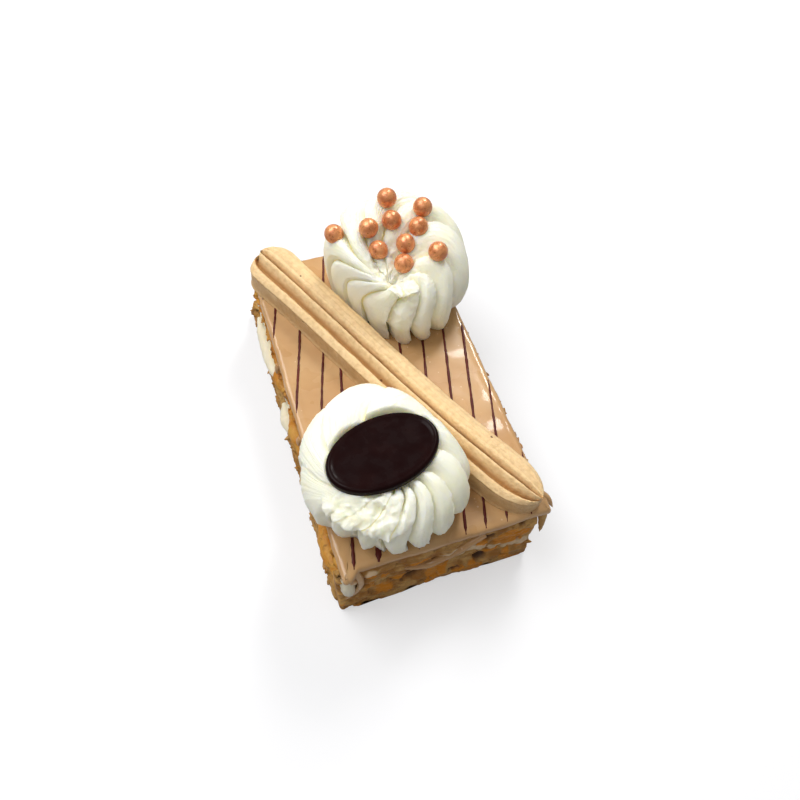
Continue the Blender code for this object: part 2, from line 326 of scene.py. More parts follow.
class Graph:
    """Adds and joins the nodes of one shader or geometry tree."""

    def __init__(self, tree: bpy.types.NodeTree) -> None:
        """Takes the tree that it adds to."""
        self.tree = tree

    def add(self, kind: str, inputs: dict | None = None, output: str | None = None, **settings: object) -> Socket:
        """Adds a node.

        Args:
            kind: The node's type name.
            inputs: A socket or a value for each named or numbered input.
            output: Name of the output wanted, or None for the first.
            settings: The node's own properties.

        Returns:
            The output socket wanted.
        """
        node = self.tree.nodes.new(kind)
        for key, value in settings.items():
            setattr(node, key, value)
        for key, value in (inputs or {}).items():
            socket = self.socket_of(node.inputs, key)
            if isinstance(value, Socket):
                self.tree.links.new(value, socket)
            else:
                socket.default_value = value
        return self.socket_of(node.outputs, output) if len(node.outputs) else None

    @staticmethod
    def socket_of(sockets: bpy.types.bpy_prop_collection, key: str | int | None) -> Socket:
        """Finds a socket in use by its name or number, or the first one in use."""
        if isinstance(key, int):
            return sockets[key]
        return next(s for s in sockets if s.enabled and (key is None or s.name == key))

    def sum(self, operation: str, a: Socket | float, b: Socket | float = 0.0, c: Socket | float = 0.0) -> Socket:
        """Works out a Math node's result from two values, or from three where it multiplies and adds."""
        values = (a, b, c) if operation == "MULTIPLY_ADD" else (a, b)
        return self.add("ShaderNodeMath", dict(enumerate(values)), operation=operation)

    def vector(self, operation: str, a: object, b: object = (0.0, 0.0, 0.0)) -> Socket:
        """Works out a Vector Math node's result from two vectors, or from a vector and a number to scale by."""
        inputs = {0: a, "Scale" if operation == "SCALE" else 1: b}
        return self.add("ShaderNodeVectorMath", inputs, operation=operation)

    def noise(self, place: Socket, scale: Socket | float, detail: float = 2.0, warp: float = 0.0) -> Socket:
        """Adds a noise, whose scale says how many of its features fit in a metre."""
        inputs = {"Vector": place, "Scale": scale, "Detail": detail, "Distortion": warp}
        return self.add("ShaderNodeTexNoise", inputs, "Fac")

    def span(
        self, value: Socket, low: Socket | float, high: Socket | float, to_low: float = 0.0, to_high: float = 1.0
    ) -> Socket:
        """Turns values between low and high into values between to_low and to_high, smoothly and held there."""
        inputs = {"Value": value, "From Min": low, "From Max": high, "To Min": to_low, "To Max": to_high}
        return self.add("ShaderNodeMapRange", inputs, interpolation_type="SMOOTHSTEP")

    def mix(self, share: Socket | float, a: object, b: object) -> Socket:
        """Mixes two colours."""
        return self.add("ShaderNodeMix", {"Factor": share, "A": a, "B": b}, data_type="RGBA")

    def product(self, *values: Socket | float) -> Socket:
        """Multiplies values.

        Args:
            values: Two values or more.

        Returns:
            Their product.
        """
        total = values[0]
        for value in values[1:]:
            total = self.sum("MULTIPLY", total, value)
        return total


# -------------------- shader groups


def new_group(name: str, inputs: dict[str, object], outputs: dict[str, str]) -> tuple[Graph, dict[str, Socket]]:
    """Starts a shader group.

    Args:
        name: The group's name.
        inputs: Default value of each named input; None makes a vector without one.
        outputs: Socket type of each named output.

    Returns:
        The graph to add to, and the input sockets by name.
    """
    tree = bpy.data.node_groups.new(name, "ShaderNodeTree")
    for label, value in inputs.items():
        kind = "NodeSocketVector" if value is None else "NodeSocketFloat"
        kind = "NodeSocketColor" if isinstance(value, tuple) else kind
        made = tree.interface.new_socket(label, in_out="INPUT", socket_type=kind)
        if value is not None:
            made.default_value = value
    for label, kind in outputs.items():
        tree.interface.new_socket(label, in_out="OUTPUT", socket_type=kind)
    entry = tree.nodes.new("NodeGroupInput")
    return Graph(tree), {s.name: s for s in entry.outputs if s.name}


def end_group(graph: Graph, **results: Socket) -> bpy.types.NodeTree:
    """Joins the results of a group to its outputs.

    Args:
        graph: The group's graph.
        results: The socket for each output, named with _ for a space.

    Returns:
        The finished tree.
    """
    leave = graph.tree.nodes.new("NodeGroupOutput")
    for label, socket in results.items():
        graph.tree.links.new(socket, leave.inputs[label.replace("_", " ").title()])
    return graph.tree


def mottle_group() -> bpy.types.NodeTree:
    """Builds the group that clouds one colour with another.

    Returns:
        The finished group.
    """
    defaults = {"Vector": None, "Scale": 200.0, "Warp": 0.0, "Low": 0.4, "High": 0.6}
    defaults |= {"Light": linear((255, 255, 255)), "Dark": linear((0, 0, 0))}
    graph, given = new_group("mottle", defaults, {"Color": "NodeSocketColor", "Mask": "NodeSocketFloat"})
    cloud = graph.noise(given["Vector"], given["Scale"], 4.0, given["Warp"])
    mask = graph.span(cloud, given["Low"], given["High"])
    return end_group(graph, color=graph.mix(mask, given["Light"], given["Dark"]), mask=mask)


def grain_group() -> bpy.types.NodeTree:
    """Builds the group that gives a height from a coarse and a fine noise.

    Returns:
        The finished group.
    """
    defaults = {"Vector": None, "Coarse": 300.0, "Fine": 1500.0, "Fine Share": 0.4}
    graph, given = new_group("grain", defaults, {"Height": "NodeSocketFloat"})
    coarse = graph.noise(given["Vector"], given["Coarse"], 3.0)
    fine = graph.noise(given["Vector"], given["Fine"])
    return end_group(graph, height=graph.sum("MULTIPLY_ADD", fine, given["Fine Share"], coarse))


def speck_group() -> bpy.types.NodeTree:
    """Builds the group that marks small scattered specks.

    Returns:
        The finished group.
    """
    defaults = {"Vector": None, "Scale": 400.0, "Radius": 0.2, "Share": 0.3}
    graph, given = new_group("specks", defaults, {"Mask": "NodeSocketFloat"})
    cells = graph.add("ShaderNodeTexVoronoi", {"Vector": given["Vector"], "Scale": given["Scale"]}, "Distance")
    near = graph.sum("LESS_THAN", cells, given["Radius"])
    chosen = graph.add("ShaderNodeSeparateColor", {"Color": cells.node.outputs["Color"]})
    return end_group(graph, mask=graph.product(near, graph.sum("LESS_THAN", chosen, given["Share"])))


class Effects:
    """The shader groups that the materials share."""

    def __init__(self) -> None:
        """Builds each group once."""
        self.mottle = mottle_group()
        self.grain = grain_group()
        self.specks = speck_group()


class Dressing:
    """One material being built, with its graph and the effects that it may use."""

    def __init__(self, name: str, effects: Effects, **constants: object) -> None:
        """Makes a material and sets the constants of its shader.

        Args:
            name: The material's name.
            effects: The shared groups.
            constants: Values for the shader's own sockets, named with _ for a space.
        """
        self.material = bpy.data.materials.new(name)
        self.material.use_nodes = True
        tree = self.material.node_tree
        self.graph = Graph(tree)
        self.effects = effects
        self.shader = tree.nodes["Principled BSDF"]
        names = {s.name.lower().replace(" ", "_"): s for s in self.shader.inputs}
        for key, value in constants.items():
            names[key].default_value = value
        self.place = self.graph.add("ShaderNodeTexCoord", output="Object")

    def use(self, group: bpy.types.NodeTree, output: str, **inputs: object) -> Socket:
        """Places a shared group.

        Args:
            group: Which group.
            output: Name of the output wanted.
            inputs: Values or sockets for its inputs, named with _ for a space.

        Returns:
            The output socket.
        """
        node = self.graph.tree.nodes.new("ShaderNodeGroup")
        node.node_tree = group
        self.graph.tree.links.new(inputs.pop("vector", self.place), node.inputs["Vector"])
        for key, value in inputs.items():
            socket = node.inputs[key.replace("_", " ").title()]
            if isinstance(value, Socket):
                self.graph.tree.links.new(value, socket)
            else:
                socket.default_value = value
        return node.outputs[output]

    def mark(self, name: str) -> Socket:
        """Reads a number stored on the piece's points."""
        return self.graph.add("ShaderNodeAttribute", output="Fac", attribute_name=name)

    def wear(self, name: str, socket: Socket) -> None:
        """Joins a socket to the shader's input of that name."""
        self.graph.tree.links.new(socket, self.shader.inputs[name])

    def relief(self, height: Socket, distance: float, strength: float = 1.0) -> None:
        """Gives the surface a fine relief of a height times distance in millimetres."""
        inputs = {"Height": height, "Distance": distance * MM, "Strength": strength}
        self.wear("Normal", self.graph.add("ShaderNodeBump", inputs, "Normal"))


# -------------------- finishes


@dataclass(frozen=True)
class PastryFinish:
    """Baked puff pastry: leaf edges, golden faces, burnt spots, and painted shade that darkens its hollows."""

    name: str
    pale: Colour
    golden: Colour
    # colour of burnt spots, and of the painted shade in hollows
    dark: Colour
    leaf: float = 0.55
    roughness: float = 0.62
    amber: Colour = (204, 128, 12)
    smear: Colour = (214, 186, 148)

    def material(self, effects: Effects) -> Material:
        """Builds the material.

        Args:
            effects: The shared groups.

        Returns:
            The finished material.
        """
        made = Dressing(
            self.name, effects, roughness=self.roughness, specular_ior_level=0.4, subsurface_weight=0.12,
            subsurface_radius=(0.0012, 0.0006, 0.0002), subsurface_scale=1.0,
        )
        graph = made.graph
        mottle = made.use(
            effects.mottle, "Color", scale=170.0, warp=0.8, low=0.36, high=0.62,
            light=linear(self.pale), dark=linear(self.golden),
        )
        flat = graph.vector("MULTIPLY", made.place, (1.0, 1.0, 5.0))
        leaves = graph.span(graph.noise(flat, 1000 / 2.6, 3.0, 0.6), 0.42, 0.6)
        layered = graph.mix(graph.product(leaves, self.leaf), mottle, linear(self.golden))
        burnt = made.use(effects.mottle, "Mask", scale=420.0, warp=0.5, low=0.56, high=0.72)
        toasted = graph.mix(graph.product(burnt, 0.55), layered, linear(self.dark))
        patchy = graph.span(graph.noise(made.place, 1000 / 2.4, 3.0), 0.3, 0.55, 0.6)
        amber = graph.product(graph.span(made.mark("amber"), 0.0, 0.7), patchy)
        toasted = graph.mix(amber, toasted, linear(self.amber))
        toasted = graph.mix(graph.span(made.mark("smear"), 0.2, 0.7), toasted, linear(self.smear))
        # painted shade: the stored hollow shade mixes in the dark colour in hollows, notches and caverns
        hollow = graph.span(made.mark("hollow"), 0.12, 0.85)
        made.wear("Base Color", graph.mix(hollow, toasted, linear(self.dark)))
        made.wear("Roughness", graph.span(leaves, 0.0, 1.0, self.roughness, self.roughness - 0.22))
        made.relief(made.use(effects.grain, "Height", coarse=600.0, fine=2600.0, fine_share=0.5), 0.25)
        return made.material


@dataclass(frozen=True)
class CreamFinish:
    """Whipped or pastry cream: pale and a little translucent, with painted shade that makes it warmer and darker in
    its creases.
    """

    name: str
    pale: Colour
    # colour of the painted shade in the creases
    crease: Colour
    roughness: float = 0.5
    grain: float = 0.12
    translucency: float = 0.7

    def material(self, effects: Effects) -> Material:
        """Builds the material.

        Args:
            effects: The shared groups.

        Returns:
            The finished material.
        """
        made = Dressing(
            self.name, effects, roughness=self.roughness, specular_ior_level=0.35, subsurface_scale=1.0,
            subsurface_weight=self.translucency, subsurface_radius=(0.0034, 0.0030, 0.0019),
        )
        graph = made.graph
        # painted shade: the stored crease shade, with a random cloud, mixes the warmer crease colour into the pale
        # one
        warm = graph.product(graph.span(made.mark("crease"), 0.15, 1.0), 0.9)
        cloud = made.use(effects.mottle, "Mask", scale=110.0, low=0.35, high=0.75)
        shade_and_cloud = graph.sum("ADD", warm, graph.product(cloud, 0.16))
        made.wear("Base Color", graph.mix(shade_and_cloud, linear(self.pale), linear(self.crease)))
        made.wear("Roughness", graph.span(cloud, 0.0, 1.0, self.roughness - 0.06, self.roughness + 0.08))
        made.relief(made.use(effects.grain, "Height", coarse=900.0, fine=2400.0, fine_share=0.7), self.grain)
        return made.material


@dataclass(frozen=True)
class IcingFinish:
    """Set coffee fondant: smooth, glossy and faintly clouded."""

    name: str
    light: Colour
    deep: Colour
    crystal: Colour = (250, 232, 205)

    def material(self, effects: Effects) -> Material:
        """Builds the material.

        Args:
            effects: The shared groups.

        Returns:
            The finished material.
        """
        made = Dressing(
            self.name, effects, roughness=0.34, specular_ior_level=0.3, coat_weight=0.55, coat_roughness=0.06,
            subsurface_weight=0.15, subsurface_radius=(0.0012, 0.0008, 0.0005), subsurface_scale=1.0,
        )
        graph = made.graph
        cloud = made.use(
            effects.mottle, "Color", scale=55.0, warp=0.4, low=0.3, high=0.72,
            light=linear(self.light), dark=linear(self.deep),
        )
        crystals = made.use(effects.specks, "Mask", scale=900.0, radius=0.22, share=0.06)
        made.wear("Base Color", graph.mix(graph.product(crystals, 0.25), cloud, linear(self.crystal)))
        made.wear("Roughness", graph.span(graph.noise(made.place, 1000 / 9.0), 0.3, 0.7, 0.22, 0.38))
        made.relief(made.use(effects.grain, "Height", coarse=130.0, fine=1400.0, fine_share=0.04), 0.12)
        return made.material


@dataclass(frozen=True)
class PipedFinish:
    """Piped coffee cream: matt, fine-grained, pricked with small dark pits, and painted with shade in its grooves
    and on its near wall.
    """

    name: str
    light: Colour
    # colour of the painted shade in grooves, also the darker tone of the random mottle
    groove: Colour
    pit: Colour

    def material(self, effects: Effects) -> Material:
        """Builds the material.

        Args:
            effects: The shared groups.

        Returns:
            The finished material.
        """
        made = Dressing(
            self.name, effects, roughness=0.55, specular_ior_level=0.35, subsurface_weight=0.12,
            subsurface_radius=(0.0012, 0.0008, 0.0004), subsurface_scale=1.0,
        )
        graph = made.graph
        cloud = made.use(
            effects.mottle, "Color", scale=620.0, warp=0.3, low=0.35, high=0.75,
            light=linear(self.light), dark=linear(self.groove),
        )
        body = graph.mix(0.3, linear(self.light), cloud)
        # painted shade: the grooves and the near wall darken towards the groove shade colour
        deep = graph.mix(graph.span(made.mark("groove"), 0.25, 1.0), body, linear(self.groove))
        pits = made.use(effects.specks, "Mask", scale=330.0, radius=0.15, share=0.07)
        made.wear("Base Color", graph.mix(graph.product(pits, 0.85), deep, linear(self.pit)))
        made.wear("Roughness", graph.span(graph.noise(made.place, 1000 / 1.2), 0.3, 0.7, 0.45, 0.62))
        made.relief(made.use(effects.grain, "Height", coarse=800.0, fine=2600.0, fine_share=0.9), 0.24)
        return made.material


@dataclass(frozen=True)
class ChocolateFinish:
    """Dark chocolate, from a satin drizzle to a glossy moulded plaque."""

    name: str
    body: Colour
    bloom: Colour
    roughness: float
    gloss: float
    specular: float

    def material(self, effects: Effects) -> Material:
        """Builds the material.

        Args:
            effects: The shared groups.

        Returns:
            The finished material.
        """
        made = Dressing(
            self.name, effects, roughness=self.roughness, specular_ior_level=self.specular, coat_weight=self.gloss,
            coat_roughness=0.06,
        )
        graph = made.graph
        cloud = made.use(
            effects.mottle, "Color", scale=180.0, low=0.4, high=0.8, light=linear(self.body), dark=linear(self.bloom)
        )
        made.wear("Base Color", cloud)
        low, high = self.roughness - 0.06, self.roughness + 0.08
        made.wear("Roughness", graph.span(graph.noise(made.place, 1000 / 3.0), 0.3, 0.7, low, high))
        made.relief(made.use(effects.grain, "Height", coarse=150.0, fine=1800.0, fine_share=0.1), 0.03)
        return made.material


@dataclass(frozen=True)
class PearlFinish:
    """Sugar pearls with a coppery lustre that lies unevenly."""

    name: str
    bright: Colour
    body: Colour
    worn: Colour

    def material(self, effects: Effects) -> Material:
        """Builds the material.

        Args:
            effects: The shared groups.

        Returns:
            The finished material.
        """
        made = Dressing(self.name, effects, specular_ior_level=0.6, coat_weight=0.35, coat_roughness=0.22)
        graph = made.graph
        lustre = made.use(
            effects.mottle, "Color", scale=520.0, warp=0.6, low=0.36, high=0.66,
            light=linear(self.bright), dark=linear(self.body),
        )
        worn = made.use(effects.mottle, "Mask", scale=900.0, warp=0.3, low=0.62, high=0.75)
        made.wear("Base Color", graph.mix(graph.product(worn, 0.6), lustre, linear(self.worn)))
        made.wear("Metallic", graph.span(worn, 0.0, 1.0, 0.32, 0.15))
        made.wear("Roughness", graph.span(graph.noise(made.place, 1000.0, 3.0), 0.35, 0.65, 0.26, 0.46))
        made.relief(made.use(effects.grain, "Height", coarse=700.0, fine=2500.0, fine_share=0.4), 0.10)
        return made.material


@dataclass(frozen=True)
class PaperFinish:
    """The plain pale floor, which looks evenly white to the camera and throws little light back."""

    name: str
    tone: Colour
    glow: float = 0.5

    def material(self, effects: Effects) -> Material:
        """Builds the material.

        Args:
            effects: The shared groups.

        Returns:
            The finished material.
        """
        white = linear((255, 255, 255))
        made = Dressing(self.name, effects, roughness=0.9, specular_ior_level=0.1, emission_color=white)
        graph = made.graph
        cloud = made.use(effects.mottle, "Mask", scale=9.0, low=0.2, high=0.8)
        made.wear("Base Color", graph.mix(graph.product(cloud, 0.05), linear(self.tone), white))
        seen = graph.add("ShaderNodeLightPath", output="Is Camera Ray")
        made.wear("Emission Strength", graph.product(seen, self.glow))
        return made.material


class Wardrobe:
    """Every finish of the slice, as finished materials."""

    def __init__(self) -> None:
        """Builds each material once."""
        effects = Effects()
        self.lower = PastryFinish("lower_pastry", (192, 152, 90), (168, 118, 48), (84, 50, 12)).material(effects)
        self.upper = PastryFinish("upper_pastry", (204, 152, 66), (190, 122, 26), (96, 52, 6)).material(effects)
        self.crust = PastryFinish("front_crust", (198, 156, 92), (156, 104, 36), (74, 42, 10), 0.4).material(effects)
        self.whipped = CreamFinish("whipped_cream", (252, 250, 229), (246, 234, 166)).material(effects)
        self.filling = CreamFinish(
            "cream_filling", (238, 228, 202), (222, 198, 150), 0.38, 0.2, 0.3
        ).material(effects)
        self.icing = IcingFinish("coffee_icing", (198, 158, 110), (183, 139, 90)).material(effects)
        self.piped = PipedFinish("coffee_cream", (238, 205, 154), (176, 128, 74), (104, 62, 28)).material(effects)
        self.drizzle = ChocolateFinish(
            "chocolate_drizzle", (78, 18, 10), (100, 30, 16), 0.45, 0.06, 0.2
        ).material(effects)
        self.plaque = ChocolateFinish(
            "chocolate_plaque", (24, 8, 8), (30, 11, 10), 0.24, 0.05, 0.04
        ).material(effects)
        self.pearl = PearlFinish("copper_lustre", (236, 158, 100), (204, 122, 72), (158, 82, 44)).material(effects)
        self.floor = PaperFinish("pale_floor", (176, 176, 178)).material(effects)


# -------------------- geometry trees


def new_geometry_tree(name: str, inputs: dict[str, object]) -> tuple[Graph, dict[str, Socket]]:
    """Starts a geometry tree that takes a mesh and gives one back.

    Args:
        name: The tree's name.
        inputs: Default value of each named input; a type's name makes a socket of that type without one.

    Returns:
        The graph to add to, and its input sockets by name.
    """
    tree = bpy.data.node_groups.new(name, "GeometryNodeTree")
    tree.interface.new_socket("Geometry", in_out="INPUT", socket_type="NodeSocketGeometry")
    kinds = {bool: "NodeSocketBool", int: "NodeSocketInt", float: "NodeSocketFloat", tuple: "NodeSocketVector"}
    for label, value in inputs.items():
        kind = value if isinstance(value, str) else kinds[type(value)]
        made = tree.interface.new_socket(label, in_out="INPUT", socket_type=kind)
        if not isinstance(value, str):
            made.default_value = value
    tree.interface.new_socket("Geometry", in_out="OUTPUT", socket_type="NodeSocketGeometry")
    entry = tree.nodes.new("NodeGroupInput")
    return Graph(tree), {s.name: s for s in entry.outputs if s.name}


def end_geometry_tree(graph: Graph, shape: Socket, material: Socket) -> bpy.types.NodeTree:
    """Ends a tree with real meshes, smooth shading and the material.

    Args:
        graph: The tree's graph.
        shape: The geometry made.
        material: The material input.

    Returns:
        The finished tree.
    """
    real = graph.add("GeometryNodeRealizeInstances", {"Geometry": shape})
    smooth = graph.add("GeometryNodeSetShadeSmooth", {"Geometry": real})
    dressed = graph.add("GeometryNodeSetMaterial", {"Geometry": smooth, "Material": material})
    leave = graph.tree.nodes.new("NodeGroupOutput")
    graph.tree.links.new(dressed, leave.inputs["Geometry"])
    return graph.tree


def field(graph: Graph, name: str, kind: str = "FLOAT") -> Socket:
    """Reads a number or a vector stored on the points."""
    return graph.add("GeometryNodeInputNamedAttribute", {"Name": name}, "Attribute", data_type=kind)


def centred(graph: Graph, value: Socket, reach: Socket | float) -> Socket:
    """Turns a noise from 0 to 1 into one from minus reach to reach."""
    return graph.product(graph.sum("MULTIPLY_ADD", value, 2.0, -1.0), reach)


def seeded(graph: Graph, place: Socket, seed: Socket) -> Socket:
    """Moves places far away by a seed, so that a noise there is another one."""
    shift = graph.add("ShaderNodeCombineXYZ", {"X": graph.product(seed, 1.37), "Z": graph.product(seed, 0.71)})
    return graph.vector("ADD", place, shift)


def scaled_noise(graph: Graph, place: Socket, size: Socket | float, detail: float = 2.0) -> Socket:
    """Adds a noise with features of a size in metres."""
    return graph.noise(place, graph.sum("DIVIDE", 1.0, size), detail)


def offset_skin(graph: Graph, skin: Socket, offset: Socket) -> Socket:
    """Moves the points of a skin by an offset."""
    return graph.add("GeometryNodeSetPosition", {"Geometry": skin, "Offset": offset})


def height_over(graph: Graph, place: Socket, base: Socket) -> Socket:
    """Gives how high places lie above a base."""
    apart = graph.add("ShaderNodeSeparateXYZ", {"Vector": place})
    return graph.sum("SUBTRACT", apart.node.outputs["Z"], base)


def stored_mark(graph: Graph, skin: Socket, name: str, value: Socket) -> Socket:
    """Stores a number on each point of a skin."""
    inputs = {"Geometry": skin, "Name": name, "Value": value}
    return graph.add("GeometryNodeStoreNamedAttribute", inputs, data_type="FLOAT", domain="POINT")


def random_vector(graph: Graph, low: object, high: object, seed: Socket) -> Socket:
    """Draws a random vector for each point."""
    inputs = {"Min": low, "Max": high, "Seed": seed}
    return graph.add("FunctionNodeRandomValue", inputs, data_type="FLOAT_VECTOR")


def upright_path(graph: Graph, source: Socket) -> Socket:
    """Makes a curve of a line of edges, with its sections kept upright."""
    path = graph.add("GeometryNodeMeshToCurve", {"Mesh": source})
    return graph.add("GeometryNodeSetCurveNormal", {"Curve": path}, mode="Z_UP")


def sweep_tree() -> bpy.types.NodeTree:
    """Builds the tree that sweeps a section along a path and gives the skin a fine relief.

    Returns:
        The finished tree.
    """
    defaults = {"Section": "NodeSocketObject", "Material": "NodeSocketMaterial", "Base": 0.0, "Nose Height": 0.4}
    defaults |= {"Grain": 0.0001, "Grain Size": 0.0009}
    graph, given = new_geometry_tree("piped_sweep", defaults)
    path = upright_path(graph, given["Geometry"])
    section = graph.add(
        "GeometryNodeObjectInfo", {"Object": given["Section"]}, "Geometry", transform_space="ORIGINAL"
    )
    section = graph.add("GeometryNodeMeshToCurve", {"Mesh": section})
    size = field(graph, "size")
    inputs = {"Curve": path, "Profile Curve": section, "Scale": size, "Fill Caps": True}
    skin = graph.add("GeometryNodeCurveToMesh", inputs)
    place = graph.add("GeometryNodeInputPosition")
    held = graph.sum("MAXIMUM", size, 0.02)
    nose = given["Nose Height"]
    keep = graph.sum("MULTIPLY_ADD", graph.sum("SUBTRACT", 1.0, nose), size, nose)
    growth = graph.sum("SUBTRACT", graph.sum("DIVIDE", keep, held), 1.0)
    lifted = graph.product(height_over(graph, place, given["Base"]), growth)
    skin = offset_skin(graph, skin, graph.add("ShaderNodeCombineXYZ", {"Z": lifted}))
    relief = centred(graph, scaled_noise(graph, place, given["Grain Size"], 3.0), given["Grain"])
    wave = centred(graph, scaled_noise(graph, place, 0.006, 1.0), 0.0002)
    offset = graph.vector("SCALE", graph.add("GeometryNodeInputNormal"), graph.sum("ADD", relief, wave))
    return end_geometry_tree(graph, offset_skin(graph, skin, offset), given["Material"])


def line_tree() -> bpy.types.NodeTree:
    """Builds the tree that lays flattened lines of chocolate along paths.

    Returns:
        The finished tree.
    """
    defaults = {"Level": 0.0228, "Flatness": 0.45, "Waver": 0.00012, "Material": "NodeSocketMaterial"}
    graph, given = new_geometry_tree("drizzle_lines", defaults)
    path = upright_path(graph, given["Geometry"])
    place = graph.add("GeometryNodeInputPosition")
    beads = scaled_noise(graph, place, 0.0016, 2.0)
    thick = graph.product(field(graph, "size"), graph.span(beads, 0.3, 0.7, 0.8, 1.2))
    ring = graph.add("GeometryNodeCurvePrimitiveCircle", {"Resolution": 10, "Radius": 1.0}, "Curve")
    inputs = {"Curve": path, "Profile Curve": ring, "Scale": thick, "Fill Caps": True}
    skin = graph.add("GeometryNodeCurveToMesh", inputs)
    flattened = graph.sum("SUBTRACT", given["Flatness"], 1.0)
    drop = graph.product(height_over(graph, place, given["Level"]), flattened)
    aside = centred(graph, scaled_noise(graph, place, 0.003, 2.0), given["Waver"])
    offset = graph.add("ShaderNodeCombineXYZ", {"X": aside, "Z": drop})
    return end_geometry_tree(graph, offset_skin(graph, skin, offset), given["Material"])


def leaves_tree() -> bpy.types.NodeTree:
    """Builds the tree that turns a slab's plain walls into leaves of pastry with hollows between them, and stores
    painted shade for the hollows and the notches between leaves.

    Returns:
        The finished tree.
    """
    defaults = {"Leaf": 0.0011, "Wander": 0.001, "Notch": 0.0007, "Reach": 0.0007, "Rough": 0.0002, "Seed": 1.0}
    defaults |= {"Hollow Size": 0.006, "Hollow Depth": 0.0025, "Hollow From": 0.58, "Material": "NodeSocketMaterial"}
    graph, given = new_geometry_tree("pastry_leaves", defaults)
    place = graph.add("GeometryNodeInputPosition")
    moved = seeded(graph, place, given["Seed"])
    apart = graph.add("ShaderNodeSeparateXYZ", {"Vector": place})
    wander = centred(graph, scaled_noise(graph, moved, 0.009, 2.0), given["Wander"])
    level = graph.sum("DIVIDE", graph.sum("ADD", apart.node.outputs["Z"], wander), given["Leaf"])
    count = graph.sum("FLOOR", level)
    within = graph.sum("SUBTRACT", level, count)
    edge = graph.sum("POWER", graph.sum("ABSOLUTE", graph.sum("MULTIPLY_ADD", within, 2.0, -1.0)), 3.0)
    leaf_shift = graph.add("ShaderNodeCombineXYZ", {"Z": graph.product(count, 0.0173)})
    on_leaf = graph.vector("ADD", graph.vector("MULTIPLY", moved, (1.0, 1.0, 0.2)), leaf_shift)
    reach = centred(graph, scaled_noise(graph, on_leaf, 0.0035, 2.0), given["Reach"])
    squashed = graph.vector("MULTIPLY", moved, (1.0, 1.0, 1.7))
    cavern = scaled_noise(graph, squashed, given["Hollow Size"], 2.0)
    hollow = graph.span(cavern, given["Hollow From"], graph.sum("ADD", given["Hollow From"], 0.09))
    rough = centred(graph, scaled_noise(graph, moved, 0.0009, 3.0), given["Rough"])
    dent = graph.sum("ADD", graph.product(edge, given["Notch"]), graph.product(hollow, given["Hollow Depth"]))
    push = graph.sum("SUBTRACT", graph.sum("ADD", reach, rough), dent)
    offset = graph.vector("SCALE", field(graph, "outward", "FLOAT_VECTOR"), push)
    # painted shade: full in the hollows and faint in the notches between leaves
    marked = stored_mark(graph, given["Geometry"], "hollow", graph.sum("MULTIPLY_ADD", edge, 0.3, hollow))
    return end_geometry_tree(graph, offset_skin(graph, marked, offset), given["Material"])


def flake_tree() -> bpy.types.NodeTree:
    """Builds the tree that scatters thin bent flakes over walls, most of them lying nearly level.

    Returns:
        The finished tree.
    """
    defaults = {"Density": 100000.0, "Length": 0.003, "Depth": 0.0014, "Thickness": 0.00024, "Tilt": 0.45}
    defaults |= {"Curl": 0.0006, "Seed": 1, "Material": "NodeSocketMaterial"}
    graph, given = new_geometry_tree("pastry_flakes", defaults)
    inputs = {"Mesh": given["Geometry"], "Density": given["Density"], "Seed": given["Seed"]}
    points = graph.add("GeometryNodeDistributePointsOnFaces", inputs, "Points")
    heading = field(graph, "outward", "FLOAT_VECTOR")
    turn = graph.add("FunctionNodeAlignRotationToVector", {"Vector": heading}, axis="Y", pivot_axis="Z")
    spread = graph.vector("SCALE", (1.0, 0.5, 0.8), given["Tilt"])
    tilt = random_vector(graph, graph.vector("SCALE", spread, -1.0), spread, given["Seed"])
    tilt = graph.add("FunctionNodeEulerToRotation", {"Euler": tilt})
    turn = graph.add("FunctionNodeRotateRotation", {"Rotation": turn, "Rotate By": tilt}, rotation_space="LOCAL")
    size = graph.add("ShaderNodeCombineXYZ", {"X": given["Length"], "Y": given["Depth"], "Z": given["Thickness"]})
    inputs = {"Size": size, "Vertices X": 6, "Vertices Y": 4, "Vertices Z": 2}
    flake = graph.add("GeometryNodeMeshCube", inputs, "Mesh")
    scale = random_vector(graph, (0.35, 0.5, 0.6), (1.5, 1.3, 1.4), graph.sum("ADD", given["Seed"], 5.0))
    inputs = {"Points": points, "Instance": flake, "Rotation": turn, "Scale": scale}
    placed = graph.add("GeometryNodeInstanceOnPoints", inputs)
    real = graph.add("GeometryNodeRealizeInstances", {"Geometry": placed})
    place = graph.add("GeometryNodeInputPosition")
    bend = graph.add("ShaderNodeTexNoise", {"Vector": place, "Scale": 420.0, "Detail": 2.0}, "Color")
    bend = graph.vector("SUBTRACT", bend, (0.5, 0.5, 0.5))
    bent = offset_skin(graph, real, graph.vector("SCALE", bend, graph.product(given["Curl"], 4.0)))
    # a random darker tone for each flake, stored in the mark that holds painted hollow shade on the walls
    tone = graph.span(scaled_noise(graph, place, 0.0025, 1.0), 0.3, 0.75, 0.0, 0.55)
    return end_geometry_tree(graph, stored_mark(graph, bent, "hollow", tone), given["Material"])


